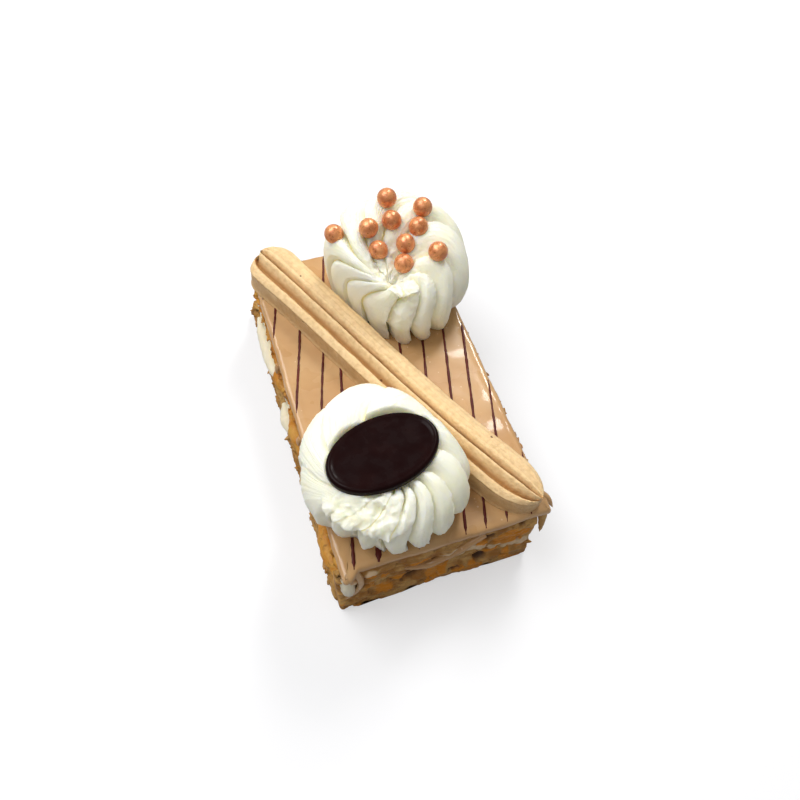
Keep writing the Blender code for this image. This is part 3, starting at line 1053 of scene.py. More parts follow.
def pearl_tree() -> bpy.types.NodeTree:
    """Builds the tree that sets a slightly uneven pearl on each point.

    Returns:
        The finished tree.
    """
    defaults = {"Radius": 0.0028, "Dents": 0.00006, "Seed": 1, "Material": "NodeSocketMaterial"}
    graph, given = new_geometry_tree("sugar_pearls", defaults)
    points = graph.add("GeometryNodeMeshToPoints", {"Mesh": given["Geometry"]}, "Points")
    ball = graph.add("GeometryNodeMeshIcoSphere", {"Radius": given["Radius"], "Subdivisions": 5}, "Mesh")
    turn = random_vector(graph, (0.0, 0.0, 0.0), (6.28, 6.28, 6.28), given["Seed"])
    turn = graph.add("FunctionNodeEulerToRotation", {"Euler": turn})
    scale = random_vector(graph, (0.97, 0.96, 0.95), (1.0, 1.0, 1.0), given["Seed"])
    inputs = {"Points": points, "Instance": ball, "Rotation": turn, "Scale": scale}
    placed = graph.add("GeometryNodeInstanceOnPoints", inputs)
    real = graph.add("GeometryNodeRealizeInstances", {"Geometry": placed})
    place = graph.add("GeometryNodeInputPosition")
    dents = centred(graph, scaled_noise(graph, place, 0.0014, 2.0), given["Dents"])
    offset = graph.vector("SCALE", graph.add("GeometryNodeInputNormal"), dents)
    return end_geometry_tree(graph, offset_skin(graph, real, offset), given["Material"])


class Trees:
    """The geometry trees of the slice, and how they are run."""

    def __init__(self) -> None:
        """Builds each tree once."""
        self.sweep = sweep_tree()
        self.lines = line_tree()
        self.leaves = leaves_tree()
        self.flakes = flake_tree()
        self.pearls = pearl_tree()

    @staticmethod
    def grow(
        source: Object, tree: bpy.types.NodeTree, name: str, **inputs: object
    ) -> Object:
        """Runs a tree on an object and makes the result a plain mesh.

        Args:
            source: The object that the tree works on, which is removed.
            tree: Which tree.
            name: The new piece's name.
            inputs: Values of the tree's named inputs, named with _ for a space.

        Returns:
            The new piece, with the result in its mesh and nothing outside the CAD box.
        """
        modifier = source.modifiers.new(tree.name, "NODES")
        modifier.node_group = tree
        sockets = [s for s in tree.interface.items_tree if s.item_type == "SOCKET" and s.in_out == "INPUT"]
        identifiers = {s.name: s.identifier for s in sockets}
        for key, value in inputs.items():
            modifier[identifiers[key.replace("_", " ").title()]] = value
        source.update_tag()
        graph = bpy.context.evaluated_depsgraph_get()
        graph.update()
        mesh = bpy.data.meshes.new_from_object(source.evaluated_get(graph), depsgraph=graph)
        mesh.name = name
        source.modifiers.remove(modifier)
        bpy.data.objects.remove(source)
        mesh.vertices.foreach_set("co", keep_in_box(points_of(mesh)).astype(np.float32).ravel())
        if enclosed_volume(mesh) < 0:
            mesh.flip_normals()
        mesh.update()
        return add_object(name, mesh)


def finish_piece(
    piece: Object, replaces: tuple[str, ...] = (), material: Material | None = None
) -> None:
    """Declares a finished piece to the frame and reports it.

    Args:
        piece: The finished object.
        replaces: The CAD nodes that it stands for.
        material: The material to give it, where its tree hasn't.
    """
    if material is not None:
        piece.data.materials.clear()
        piece.data.materials.append(material)
    if replaces:
        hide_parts(*replaces)
    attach(piece, "root")
    LOG.info("%s: %d points, %d faces", piece.name, len(piece.data.vertices), len(piece.data.polygons))


# -------------------- the layers


@dataclass(frozen=True)
class Slab:
    """A rounded rectangular slab as rings, in millimetres."""

    half_width: float
    half_length: float
    low: float
    high: float
    corner: float = 1.6
    spacing: float = 0.5
    rows: int = 26
    shift: Pair = (0.0, 0.0)
    chip: float = 60.0
    corner_steps: int = 6

    def outline(self) -> tuple[Array, Array]:
        """Walks round the slab's edge, turning left.

        Returns:
            Places and outward directions, one row each.
        """
        places, outward = [], []
        inner = (self.half_width - self.corner, self.half_length - self.corner)
        for quarter, (right, back) in enumerate(((1, 1), (-1, 1), (-1, -1), (1, -1))):
            centre = np.array((right * inner[0], back * inner[1]))
            turns = np.linspace(0, math.pi / 2, self.corner_steps) + quarter * math.pi / 2
            ways = [(math.cos(t), math.sin(t)) for t in turns]
            arc = [centre + self.corner * np.array(way) for way in ways]
            run = 2 * inner[1 - quarter % 2]
            direction = np.array(((0, -1), (1, 0), (0, 1), (-1, 0))[quarter])
            start = arc[0] + direction * run
            steps = int(run / self.spacing)
            places += [start - direction * run * i / steps for i in range(steps)] + arc
            outward += [ways[0]] * steps + ways
        return np.array(places) + np.array(self.shift), np.array(outward)

    def rings(self, profile: Shape, top_rings: int = 4) -> tuple[Array, Array]:
        """Stacks the outline into rings.

        Args:
            profile: Gives how far the wall stands out, in millimetres, from its height share, 0 to 1.
            top_rings: How many rings lead from the wall to the middle of the top.

        Returns:
            Rings of places, and the outward direction of each place, nought away from the walls.
        """
        places, outward = self.outline()
        flat = np.column_stack([outward, np.zeros(len(outward))])
        base = np.column_stack([places, np.full(len(places), self.low)])
        middle = np.array((*self.shift, 0.0))
        stack = [middle + (base - middle) * (size, size, 1) for size in np.linspace(0.1, 1, 3)[:-1]]
        ways = [flat * 0] * len(stack)
        for share in np.linspace(0, 1, self.rows):
            ring = base + flat * float(profile(np.array(share)))
            ring[:, 2] = self.low + share * (self.high - self.low)
            stack.append(ring)
            ways.append(flat)
        last = stack[-1]
        for n in range(1, top_rings + 1):
            size = 1 - n / (top_rings + 0.5)
            stack.append(middle + (last - middle) * (size, size, 1))
            ways.append(flat * 0)
        return np.array(stack), np.array(ways)

    def solid(self, name: str, profile: Shape) -> Object:
        """Makes the slab, with its outward directions stored on it.

        Args:
            name: The object's name.
            profile: How far its wall stands out at each height.

        Returns:
            The new object.
        """
        rings, ways = self.rings(profile)
        piece = ring_object(name, chip_corner(rings, self.chip))
        store(piece, "outward", np.vstack([ways.reshape(-1, 3), np.zeros((2, 3))]))
        return piece

    def wall(self, name: str) -> Object:
        """Makes a coarse open wall to scatter flakes on.

        Args:
            name: The object's name.

        Returns:
            The new object.
        """
        places, outward = self.outline()
        count = len(places)
        levels = (self.low, self.high)
        rows = [chip_corner(np.column_stack([places, np.full(count, z)]), self.chip) for z in levels]
        faces = [(i, (i + 1) % count, count + (i + 1) % count, count + i) for i in range(count)]
        piece = mesh_object(name, np.vstack(rows), faces)
        flat = np.column_stack([outward, np.zeros(count)])
        store(piece, "outward", np.vstack([flat, flat]))
        return piece


@dataclass(frozen=True)
class Grain:
    """How a layer's walls break up into leaves and hollows. Sizes are in metres."""

    leaf: float
    wander: float
    notch: float
    reach: float
    rough: float
    hollow_depth: float
    hollow_from: float
    hollow_size: float
    seed: float


@dataclass(frozen=True)
class Layer:
    """One layer of the slice, and the flakes that stand out of it, where it has any."""

    name: str
    node: str
    slot: Slot
    material: Material
    slab: Slab
    profile: Shape
    grain: Grain
    flakes: str = ""
    density: float = 0.0

    def lay(self, trees: Trees) -> None:
        """Builds the layer.

        Args:
            trees: The geometry trees.
        """
        source = self.slab.solid(self.name + "_source", self.profile)
        piece = trees.grow(source, trees.leaves, self.name, material=self.material, **asdict(self.grain))
        finish_piece(piece, (self.node,))

    def scatter(self, trees: Trees, seed: int) -> None:
        """Scatters the layer's loose flakes over its wall.

        Args:
            trees: The geometry trees.
            seed: Which scatter it is.
        """
        wall = self.slab.wall(self.flakes + "_wall")
        piece = trees.grow(wall, trees.flakes, self.flakes, density=self.density, seed=seed, material=self.material)
        finish_piece(piece)


@dataclass
class Icing:
    """The coffee icing, with a soft rolled edge, a tongue at one corner and a top that undulates a little."""

    slab: Slab = Slab(28.0, 50.0, 20.5, 22.8, corner=0.8, rows=16)
    top_rings: int = 44
    round_from: float = 0.42
    rounding: float = 1.1
    undercut: float = 0.35
    undercut_to: float = 0.25
    tongue: float = 2.0
    sink: float = 0.1
    lip: float = 0.14
    lip_inset: float = 1.3
    lip_width: float = 0.8

    def profile(self, share: Array) -> Array:
        """Sinks back towards the top in a quarter round, and a little at the underside."""
        over = np.clip((share - self.round_from) / (1 - self.round_from), 0, 1)
        under = np.clip(1 - share / self.undercut_to, 0, 1)
        return -self.rounding * (1 - np.sqrt(1 - over**2)) - self.undercut * under**2

    def build(self, wardrobe: Wardrobe) -> None:
        """Builds the icing.

        Args:
            wardrobe: The materials.
        """
        slab = self.slab
        rings, ways = slab.rings(self.profile, self.top_rings)
        flat = rings * (1, 1, 0)
        wander = 0.3 * rough_noise(flat, 7, 21) + 0.1 * rough_noise(flat, 1.3, 22)
        rings = rings + ways * wander[..., None]
        at_corner = smooth_step(-rings[..., 0], 23.0, 26.0) * smooth_step(-rings[..., 1], 44.0, 50.0)
        rings[..., 1] -= self.tongue * at_corner
        inner = np.arange(len(rings)) > slab.rows + 1
        level = 0.12 * value_noise(flat, 12, 23) + 0.07 * value_noise(flat, 5, 24)
        inset = np.minimum(slab.half_width - np.abs(rings[..., 0]), slab.half_length - np.abs(rings[..., 1]))
        near_lip = np.exp(-(((inset - self.lip_inset) / self.lip_width) ** 2))
        lip = self.lip * near_lip * (1 + 0.8 * value_noise(flat, 2.2, 25))
        rings[inner, :, 2] += (level - self.sink + lip)[inner]
        finish_piece(ring_object("coffee_icing", rings), ("icing",), wardrobe.icing)


@dataclass
class Layers:
    """The pastry, cream and icing of the slice. Slabs are in millimetres."""

    half_width: float = 28.0
    half_length: float = 50.0
    lower: Pair = (0.0, 6.6)
    filling: Pair = (6.2, 13.8)
    upper: Pair = (13.2, 20.9)
    flake_seed: int = 4

    def layers(self, wardrobe: Wardrobe) -> list[Layer]:
        """Gives the three soft layers, from the lowest up.

        Args:
            wardrobe: The materials.

        Returns:
            The pastry that stands out at its foot, the cream that swells out, and the pastry on top.
        """
        wide, deep = self.half_width, self.half_length
        return [
            Layer(
                "lower_pastry", "pastry_bottom", Slot.BAKED, wardrobe.lower,
                Slab(wide + 0.9, deep + 0.4, *self.lower, shift=(-0.6, 1.1), chip=41.6),
                lambda share: 0.7 * (1 - share) ** 0.8 - 0.5 * (share < 0.04),
                Grain(0.0012, 0.0014, 0.0006, 0.0008, 0.00035, 0.0016, 0.6, 0.005, 2.0),
                "lower_flakes", 90000.0,
            ),
            Layer(
                "cream_layer", "cream_filling", Slot.FILLING, wardrobe.filling,
                Slab(wide - 0.6, deep - 1.6, *self.filling, shift=(0.0, 0.8), chip=40.4),
                lambda share: 1.1 * math.sin(math.pi * share) ** 0.6,
                Grain(0.004, 0.002, 0.0005, 0.0009, 0.0002, 0.0022, 0.56, 0.009, 5.0),
            ),
            Layer(
                "upper_pastry", "pastry_top", Slot.CARAMELISED, wardrobe.upper,
                Slab(wide - 0.1, deep - 1.0, *self.upper, shift=(0.0, 0.8), chip=40.6),
                lambda share: 0.2 * (1 - share),
                Grain(0.00125, 0.0016, 0.0008, 0.0009, 0.00035, 0.0034, 0.55, 0.006, 9.0),
                "upper_flakes", 130000.0,
            ),
        ]

    def build(self, trees: Trees, wardrobe: Wardrobe) -> None:
        """Builds the four layers and their loose flakes.

        Args:
            trees: The geometry trees.
            wardrobe: The materials.
        """
        layers = self.layers(wardrobe)
        for layer in layers:
            layer.lay(trees)
        Icing().build(wardrobe)
        for number, layer in enumerate(layer for layer in layers if layer.flakes):
            layer.scatter(trees, self.flake_seed + number)


@dataclass(frozen=True)
class Patch:
    """A round patch on the front crust: where its middle is, across and up, and half its width and height."""

    across: float
    up: float
    half_width: float
    half_height: float

    def share(self, across: Array, up: Array) -> Array:
        """Gives how much of each place belongs to the patch.

        Args:
            across: How far across each place is.
            up: How far up it is.

        Returns:
            Shares from 0 to 1, which fade out at the patch's ragged rim.
        """
        ragged = 0.28 * rough_noise(np.stack([across, up, 0 * up], axis=-1), 2.2, 81)
        away = np.hypot((across - self.across) / self.half_width, (up - self.up) / self.half_height) + ragged
        return 1 - smooth_step(away, 0.4, 1.2)


@dataclass
class FrontCrust:
    """The broken front face, where the layers are squashed into one lumpy mass. Sizes are in millimetres."""

    left: float = -29.4
    right: float = 26.6
    low: float = 0.1
    high: float = 20.8
    back: float = -47.4
    face: float = -50.1
    chip: float = 41.8
    leaf: float = 1.3
    hollow_depth: float = 2.3
    notch_depth: float = 0.42
    rounding: float = 0.9
    rounded_over: float = 1.2
    columns: int = 200
    back_columns: int = 30
    rows: int = 84
    seed: int = 140

    def patches(self) -> dict[str, tuple[Patch, ...]]:
        """Gives the caverns, which are carved and painted in shade, the amber patches and the cream smears.

        Returns:
            The patches by the name of their mark.
        """
        return {
            "hollow": (
                Patch(-9.3, 7.7, 2.3, 1.6), Patch(2.6, 4.9, 2.6, 1.0), Patch(9.7, 6.4, 2.0, 1.1),
                Patch(10.8, 18.2, 2.0, 0.9), Patch(-22.6, 12.4, 1.5, 1.2), Patch(-3.6, 9.2, 1.4, 1.0),
                Patch(5.4, 9.0, 1.5, 0.9), Patch(16.5, 5.0, 1.8, 0.8),
            ),
            "amber": (
                Patch(18.4, 14.2, 5.8, 5.0), Patch(-17.2, 6.4, 2.6, 2.2), Patch(-7.6, 16.6, 3.0, 1.8),
                Patch(12.6, 8.2, 2.2, 1.3), Patch(-13.4, 9.4, 2.2, 1.6), Patch(-1.2, 6.0, 1.6, 1.2),
                Patch(7.2, 5.2, 1.4, 1.1), Patch(-20.4, 16.8, 1.8, 1.4),
            ),
            "smear": (
                Patch(-20.4, 19.0, 2.2, 1.2), Patch(-3.5, 11.6, 3.2, 1.8), Patch(1.8, 15.6, 4.2, 2.3),
                Patch(7.6, 15.4, 3.2, 2.4), Patch(13.2, 11.0, 2.6, 1.6), Patch(-25.5, 16.0, 1.6, 3.2),
                Patch(19.8, 8.6, 4.5, 1.6),
            ),
        }

    def marks(self, across: Array, up: Array, flat: Array) -> dict[str, Array]:
        """Works out how hollow each place of the face is, which also sets its painted shade, and how amber and how
        smeared it is.

        Args:
            across: How far across each place is.
            up: How far up it is.
            flat: The places on a flat face.

        Returns:
            Shares from 0 to 1 by the name of the mark.
        """
        groups = self.patches().items()
        marks = {name: np.max([patch.share(across, up) for patch in group], axis=0) for name, group in groups}
        # more caverns, carved in the relief and painted darker as shade
        caves = smooth_step(rough_noise(flat * (1, 1, 1.5), 3.4, self.seed + 1), 0.22, 0.6)
        caves = caves * (1 - marks["smear"]) * smooth_step(up, 0.8, 2.4)
        marks["hollow"] = np.maximum(marks["hollow"], 0.8 * caves)
        browned = smooth_step(rough_noise(flat, 4.2, self.seed + 2), 0.25, 0.5)
        marks["amber"] = np.maximum(marks["amber"], 0.75 * browned)
        return marks

    def relief(
        self, across: Array, up: Array, flat: Array, marks: dict[str, Array]
    ) -> tuple[Array, Array]:
        """Works out how far the face stands out.

        Args:
            across: How far across each place is.
            up: How far up it is.
            flat: The places on a flat face.
            marks: Its marks.

        Returns:
            How far each place stands out, and how much of it lies in a notch between two leaves.
        """
        level = (up + 1.2 * value_noise(flat, 8, self.seed + 3)) / self.leaf
        notch = np.abs(2 * (level - np.floor(level)) - 1) ** 3 * (1 - 0.8 * marks["smear"])
        coarse = 0.75 * rough_noise(flat * (1, 1, 1.3), 4.8, self.seed + 4, 4)
        lumps = coarse + 0.22 * rough_noise(flat, 1.1, self.seed + 5)
        on_leaf = np.stack([across / 3.2, np.floor(level) * 1.7, 0 * up], axis=-1)
        leaves = 0.5 * value_noise(on_leaf, 1, self.seed + 6)
        foot = (1.5 + 0.6 * smooth_step(across, -6, 6)) * (1 - smooth_step(up, 5.0, 7.6))
        tucked = 0.9 * smooth_step(up, 18.6, 20.2) + 0.2 * (1 - smooth_step(up, 0.1, 0.9))
        out = 0.3 + foot - tucked + lumps + leaves - self.notch_depth * notch
        out = out + 0.5 * marks["amber"] + 0.4 * marks["smear"]
        out = out - self.hollow_depth * marks["hollow"] ** 1.3
        edge = np.clip(1 - (across - self.left) / self.rounded_over, 0, 1)
        return out - self.rounding * (1 - np.sqrt(1 - edge**2)), notch

    def build(self, wardrobe: Wardrobe) -> None:
        """Builds the crust.

        Args:
            wardrobe: The materials.
        """
        across = np.linspace(self.left, self.right, self.columns)[None, :]
        up = np.linspace(self.low, self.high, self.rows)[:, None]
        across, up = np.broadcast_arrays(across, up)
        flat = np.stack([across, 0 * up, up], axis=-1)
        marks = self.marks(across, up, flat)
        out, notch = self.relief(across, up, flat, marks)
        front = np.stack([across, self.face - out, up], axis=-1)
        behind = np.linspace(self.right, self.left, self.back_columns)[None, :] + 0 * up[:, :1]
        back = np.stack([behind, 0 * behind + self.back, up[:, :1] + 0 * behind], axis=-1)
        rings = chip_corner(np.concatenate([front, back], axis=1), self.chip)
        piece = ring_object("front_crust", keep_in_box(rings * MM) / MM)
        # painted shade: the notches between leaves darken a little
        marks["hollow"] = marks["hollow"] + 0.2 * notch
        for name, values in marks.items():
            whole = np.concatenate([values, np.zeros((self.rows, self.back_columns))], axis=1)
            store(piece, name, np.concatenate([whole.ravel(), (0.0, 0.0)]))
        finish_piece(piece, material=wardrobe.crust)


class Stuff(Enum):
    """What a daub is made of."""

    CREAM = "cream_daubs"
    ICING = "icing_drips"
    CRISP = "crisp_lumps"
    BAKED = "baked_spikes"


class Knot(NamedTuple):
    """A place on a daub and its radius there, in millimetres."""

    across: float
    back: float
    up: float
    radius: float


@dataclass
class Daubs:
    """Smears, drips, lumps and spikes that stand out from the layers' sides."""

    steps: int = 9
    around: int = 22
    thinnest: float = 0.05
    grain_size: float = 1.8

    def strokes(self) -> dict[Stuff, tuple[tuple[Knot, ...], ...]]:
        """Gives every daub.

        Returns:
            For each thing that they are made of, the knots of each daub.
        """
        return {
            Stuff.CREAM: (
                (Knot(-26.9, -49.6, 19.6, 1.3), Knot(-26.8, -50.3, 15.2, 1.9), Knot(-26.5, -50.6, 11.2, 1.6),
                 Knot(-26.2, -50.6, 8.0, 0.5)),
                (Knot(-28.9, 42.0, 9.0, 0.7), Knot(-29.3, 36.0, 9.6, 1.6), Knot(-29.2, 29.0, 9.0, 1.9),
                 Knot(-29.3, 23.0, 9.2, 1.6), Knot(-28.8, 17.6, 9.6, 0.6)),
                (Knot(-28.8, 8.6, 9.4, 0.7), Knot(-29.4, 3.0, 9.8, 1.9), Knot(-28.9, -2.6, 9.4, 0.7)),
                (Knot(-28.7, -15.0, 9.2, 0.6), Knot(-29.1, -20.0, 9.0, 1.5), Knot(-28.9, -25.0, 9.4, 1.4),
                 Knot(-28.6, -30.0, 9.4, 0.6)),
            ),
            Stuff.ICING: (
                (Knot(9.8, -49.7, 19.9, 0.9), Knot(5.8, -50.1, 17.9, 1.2), Knot(1.0, -50.4, 15.2, 1.3),
                 Knot(-4.7, -50.5, 12.6, 1.1), Knot(-8.6, -50.4, 13.4, 0.8), Knot(-12.7, -50.2, 15.2, 0.3)),
                (Knot(-24.2, -49.6, 21.2, 0.8), Knot(-23.4, -50.7, 18.0, 0.8), Knot(-23.6, -51.1, 14.4, 0.7),
                 Knot(-25.2, -51.2, 10.4, 0.6), Knot(-27.5, -51.0, 6.6, 0.3)),
                (Knot(27.2, -44.6, 22.0, 1.1), Knot(28.2, -45.8, 21.6, 1.0), Knot(29.0, -47.0, 20.6, 0.7),
                 Knot(29.6, -48.2, 19.4, 0.15)),
                (Knot(-27.8, 14.4, 21.4, 0.9), Knot(-28.5, 13.9, 20.2, 0.7), Knot(-28.8, 13.6, 18.6, 0.2)),
                (Knot(-27.7, -10.2, 21.5, 0.9), Knot(-28.4, -10.6, 20.4, 0.8), Knot(-28.7, -11.0, 18.9, 0.2)),
            ),
            Stuff.CRISP: (
                (Knot(-27.6, 18.4, 15.6, 0.8), Knot(-28.2, 13.0, 15.6, 2.1), Knot(-27.7, 7.4, 15.2, 0.9)),
                (Knot(-27.7, 0.8, 15.6, 0.9), Knot(-28.3, -6.0, 15.6, 2.1), Knot(-27.7, -13.4, 15.2, 0.9)),
                (Knot(-27.6, -31.0, 15.4, 0.9), Knot(-28.3, -36.5, 15.4, 2.2), Knot(-28.4, -43.0, 15.2, 2.3),
                 Knot(-27.7, -48.8, 15.4, 0.9)),
            ),
            Stuff.BAKED: (
                (Knot(26.6, -47.4, 20.6, 1.6), Knot(26.7, -48.9, 17.6, 1.2), Knot(26.5, -50.2, 14.4, 0.7),
                 Knot(26.3, -51.1, 11.8, 0.12)),
                (Knot(22.4, -49.8, 6.6, 1.2), Knot(23.8, -50.9, 6.0, 0.7), Knot(25.2, -51.5, 5.6, 0.12)),
                (Knot(20.6, -50.8, 3.6, 1.0), Knot(21.8, -51.7, 3.6, 0.5), Knot(22.6, -52.1, 3.4, 0.12)),
                (Knot(-29.9, -0.2, 4.6, 1.0), Knot(-30.8, -0.4, 4.8, 0.6), Knot(-31.5, -0.6, 5.0, 0.12)),
            ),
        }

    def build(self, trees: Trees, wardrobe: Wardrobe) -> None:
        """Sweeps every daub, one piece for each thing that they are made of.

        Args:
            trees: The geometry trees.
            wardrobe: The materials.
        """
        dress = {
            Stuff.CREAM: (Slot.FILLING, wardrobe.filling, 0.30), Stuff.ICING: (Slot.ICING, wardrobe.icing, 0.12),
            Stuff.CRISP: (Slot.CARAMELISED, wardrobe.upper, 0.75), Stuff.BAKED: (Slot.BAKED, wardrobe.lower, 0.35),
        }
        turns = np.linspace(0, TURN, self.around, endpoint=False)
        circle = np.column_stack([np.cos(turns), np.sin(turns), 0 * turns])
        for stuff, daubs in self.strokes().items():
            slot, material, lumps = dress[stuff]
            points, sizes, edges = join_lines([curve_through(np.array(knots), self.steps) for knots in daubs])
            paths = path_object(stuff.value + "_paths", points, np.maximum(sizes, self.thinnest), edges=edges)
            section = path_object("daub_section", circle, np.ones(len(circle)), True)
            piece = trees.grow(
                paths, trees.sweep, stuff.value, section=section, nose_height=0.0, grain=lumps * MM,
                grain_size=self.grain_size * MM, material=material,
            )
            bpy.data.objects.remove(section)
            finish_piece(piece)


# -------------------- bar and drizzle


class Groove(NamedTuple):
    """A groove of the bar: its place across and its width, as shares of half the bar, and how much painted shade it
    gets.
    """

    at: float
    width: float
    share: float


@dataclass
class PipedBar:
    """The coffee cream bar, swept along its bowed line from its round start to its nose."""

    start: Pair = (-20.8, 44.2)
    tip: Pair = (24.3, -48.2)
    bend: float = 1.4
    half_width: float = 7.0
    height: float = 8.4
    shoulder: float = 0.07
    swell: float = 0.05
    nose: float = 12.0
    nose_height: float = 0.82
    base: float = 22.7
    stations: int = 330
    crowding: float = 0.4
    wall_shade: float = 0.62

    def section(self) -> Array:
        """Gives the section, across from the near side to the far one and up.

        Returns:
            Places on the closed section, one row each, in millimetres.
        """
        knots = np.array([
            (-1.000, 0.00), (-0.985, 0.10), (-0.960, 0.35), (-0.945, 0.56), (-0.958, 0.645), (-0.945, 0.685),
            (-0.880, 0.730), (-0.780, 0.785), (-0.690, 0.805), (-0.620, 0.760), (-0.570, 0.660), (-0.525, 0.600),
            (-0.470, 0.610), (-0.400, 0.690), (-0.320, 0.810), (-0.240, 0.895), (-0.180, 0.920), (-0.125, 0.895),
            (-0.085, 0.815), (-0.050, 0.700), (-0.010, 0.700), (0.040, 0.840), (0.100, 0.930), (0.170, 0.955),
            (0.230, 0.945), (0.300, 0.975), (0.380, 0.985), (0.440, 0.960), (0.520, 0.960), (0.610, 0.935),
            (0.680, 0.870), (0.770, 0.830), (0.860, 0.720), (0.940, 0.480), (0.990, 0.200), (1.000, 0.00),
            (0.400, 0.00), (-0.400, 0.00),
        ])
        return curve_through(knots, 5, closed=True) * (self.half_width, self.height)

    def size_at(self, place: Array) -> Array:
        """Gives the section's size along the bar.

        Args:
            place: Distances from the start, in millimetres.

        Returns:
            Sizes, one where the bar is full.
        """
        length = math.dist(self.start, self.tip)
        early = (1 - np.clip(-place / self.half_width, 0, 1) ** 2.4) ** (1 / 2.4)
        part = np.clip(1 - (length - place) / self.nose, 0, 1)
        late = (1 - part**2.2) ** (1 / 1.9)
        size = np.where(place < 0, early, np.where(part > 0, late, 1.0))
        widened = self.shoulder * np.maximum(0, 1 - place / (length / 2))
        swollen = widened + self.swell * np.exp(-(((place - 1) / 9) ** 2))
        return np.maximum(size, 0.02) * (1 + swollen)

    def build(self, trees: Trees, wardrobe: Wardrobe) -> None:
        """Sweeps the bar and stores the painted shade of its grooves and near wall.

        Args:
            trees: The geometry trees.
            wardrobe: The materials.
        """
        start, tip = np.array(self.start), np.array(self.tip)
        length = math.dist(self.start, self.tip)
        along = (tip - start) / length
        across = np.array((-along[1], along[0]))
        even = np.linspace(0, 1, self.stations)
        crowded = (1 - np.cos(np.linspace(0, math.pi, self.stations))) / 2
        lead = self.half_width * (1 + self.swell)
        place = ((1 - self.crowding) * even + self.crowding * crowded) * (length + lead) - lead
        bowed = self.bend * np.sin(math.pi * np.clip(place / length, 0, 1) ** 1.6)
        line = start + along * place[:, None] - across * bowed[:, None]
        sizes = self.size_at(place)
        path = path_object("bar_path", np.column_stack([line, np.full(len(line), self.base)]), sizes)
        outline = self.section()
        upright = np.column_stack([-outline, np.zeros(len(outline))])
        section = path_object("bar_section", upright, np.ones(len(outline)), True)
        piece = trees.grow(
            path, trees.sweep, "piped_bar", section=section, base=self.base * MM, nose_height=self.nose_height,
            material=wardrobe.piped,
        )
        bpy.data.objects.remove(section)
        self.mark_grooves(piece, line, sizes, across)
        finish_piece(piece, ("coffee_cream_bar",))

    def mark_grooves(
        self, piece: Object, line: Array, sizes: Array, across: Array
    ) -> None:
        """Stores painted shade: darker deep in each groove and on the near wall.
            line: The bar's middle line, in millimetres.
            sizes: The section's size at each place of the line.
            across: Direction from the near side to the far one.
        """
        points = points_of(piece.data) / MM
        nearest = np.array([np.argmin(((line - p[:2]) ** 2).sum(axis=1)) for p in points])
        side = (points[:, :2] - line[nearest]) @ across / (self.half_width * np.maximum(sizes[nearest], 0.05))
        grooves = (
            Groove(-0.50, 0.16, 1.0), Groove(-0.04, 0.07, 1.0), Groove(0.235, 0.035, 0.3),
            Groove(0.47, 0.045, 0.3), Groove(0.70, 0.05, 0.3),
        )
        depth = np.max([g.share * np.exp(-(((side - g.at) / g.width) ** 2)) for g in grooves], axis=0)
        # painted shade on the near wall, which faces away from the lights
        shaded = self.wall_shade * smooth_step(-side, 0.90, 0.955)
        store(piece, "groove", np.clip(depth + shaded, 0, 1))


@dataclass(frozen=True)
class Line:
    """One chocolate line: where it crosses the middle, its half width, its slant and how far forward it runs."""

    at: float
    half_width: float
    slant: float = 0.28
    front: float = -49.3


@dataclass
class Drizzle:
    """Chocolate lines across the icing."""

    level: float = 22.85
    half_width: float = 27.2
    half_length: float = 49.3
    flatness: float = 0.5
    stations: int = 170
    waver: float = 0.25

    def lines(self) -> list[Line]:
        """Gives the lines from left to right.

        Returns:
            The lines.
        """
        return [
            Line(-37.8, 0.30), Line(-33.7, 0.32), Line(-26.0, 0.34), Line(-18.9, 0.32), Line(-13.2, 0.42, 0.226),
            Line(-4.6, 0.85, 0.275), Line(4.4, 0.34, 0.245), Line(11.1, 0.34, front=-38.0),
            Line(17.8, 0.36, 0.27), Line(23.7, 0.36), Line(29.4, 0.32), Line(36.0, 0.36),
        ]

    def run(self, line: Line) -> Array:
        """Runs one line over the icing.

        Args:
            line: The line.

        Returns:
            Its places in millimetres and its half widths in metres, four numbers in a row.
        """
        along = np.linspace(line.front, self.half_length, self.stations)
        spots = np.column_stack([along, 0 * along + line.at, 0 * along])
        across = line.at + line.slant * along + self.waver * value_noise(spots, 18, 3)
        kept = np.abs(across) < self.half_width
        count = int(kept.sum())
        ends = np.minimum(np.arange(count), np.arange(count)[::-1]) / 3
        sizes = line.half_width * MM * np.clip(ends, 0.35, 1)
        return np.column_stack([across[kept], along[kept], np.full(count, self.level), sizes])

    def build(self, trees: Trees, wardrobe: Wardrobe) -> None:
        """Lays every line on the icing.

        Args:
            trees: The geometry trees.
            wardrobe: The materials.
        """
        points, sizes, edges = join_lines([self.run(line) for line in self.lines()])
        paths = path_object("drizzle_paths", points, sizes, edges=edges)
        piece = trees.grow(
            paths, trees.lines, "chocolate_lines", level=self.level * MM, flatness=self.flatness,
            material=wardrobe.drizzle,
        )
        finish_piece(piece)


# -------------------- plaque and cream swirls


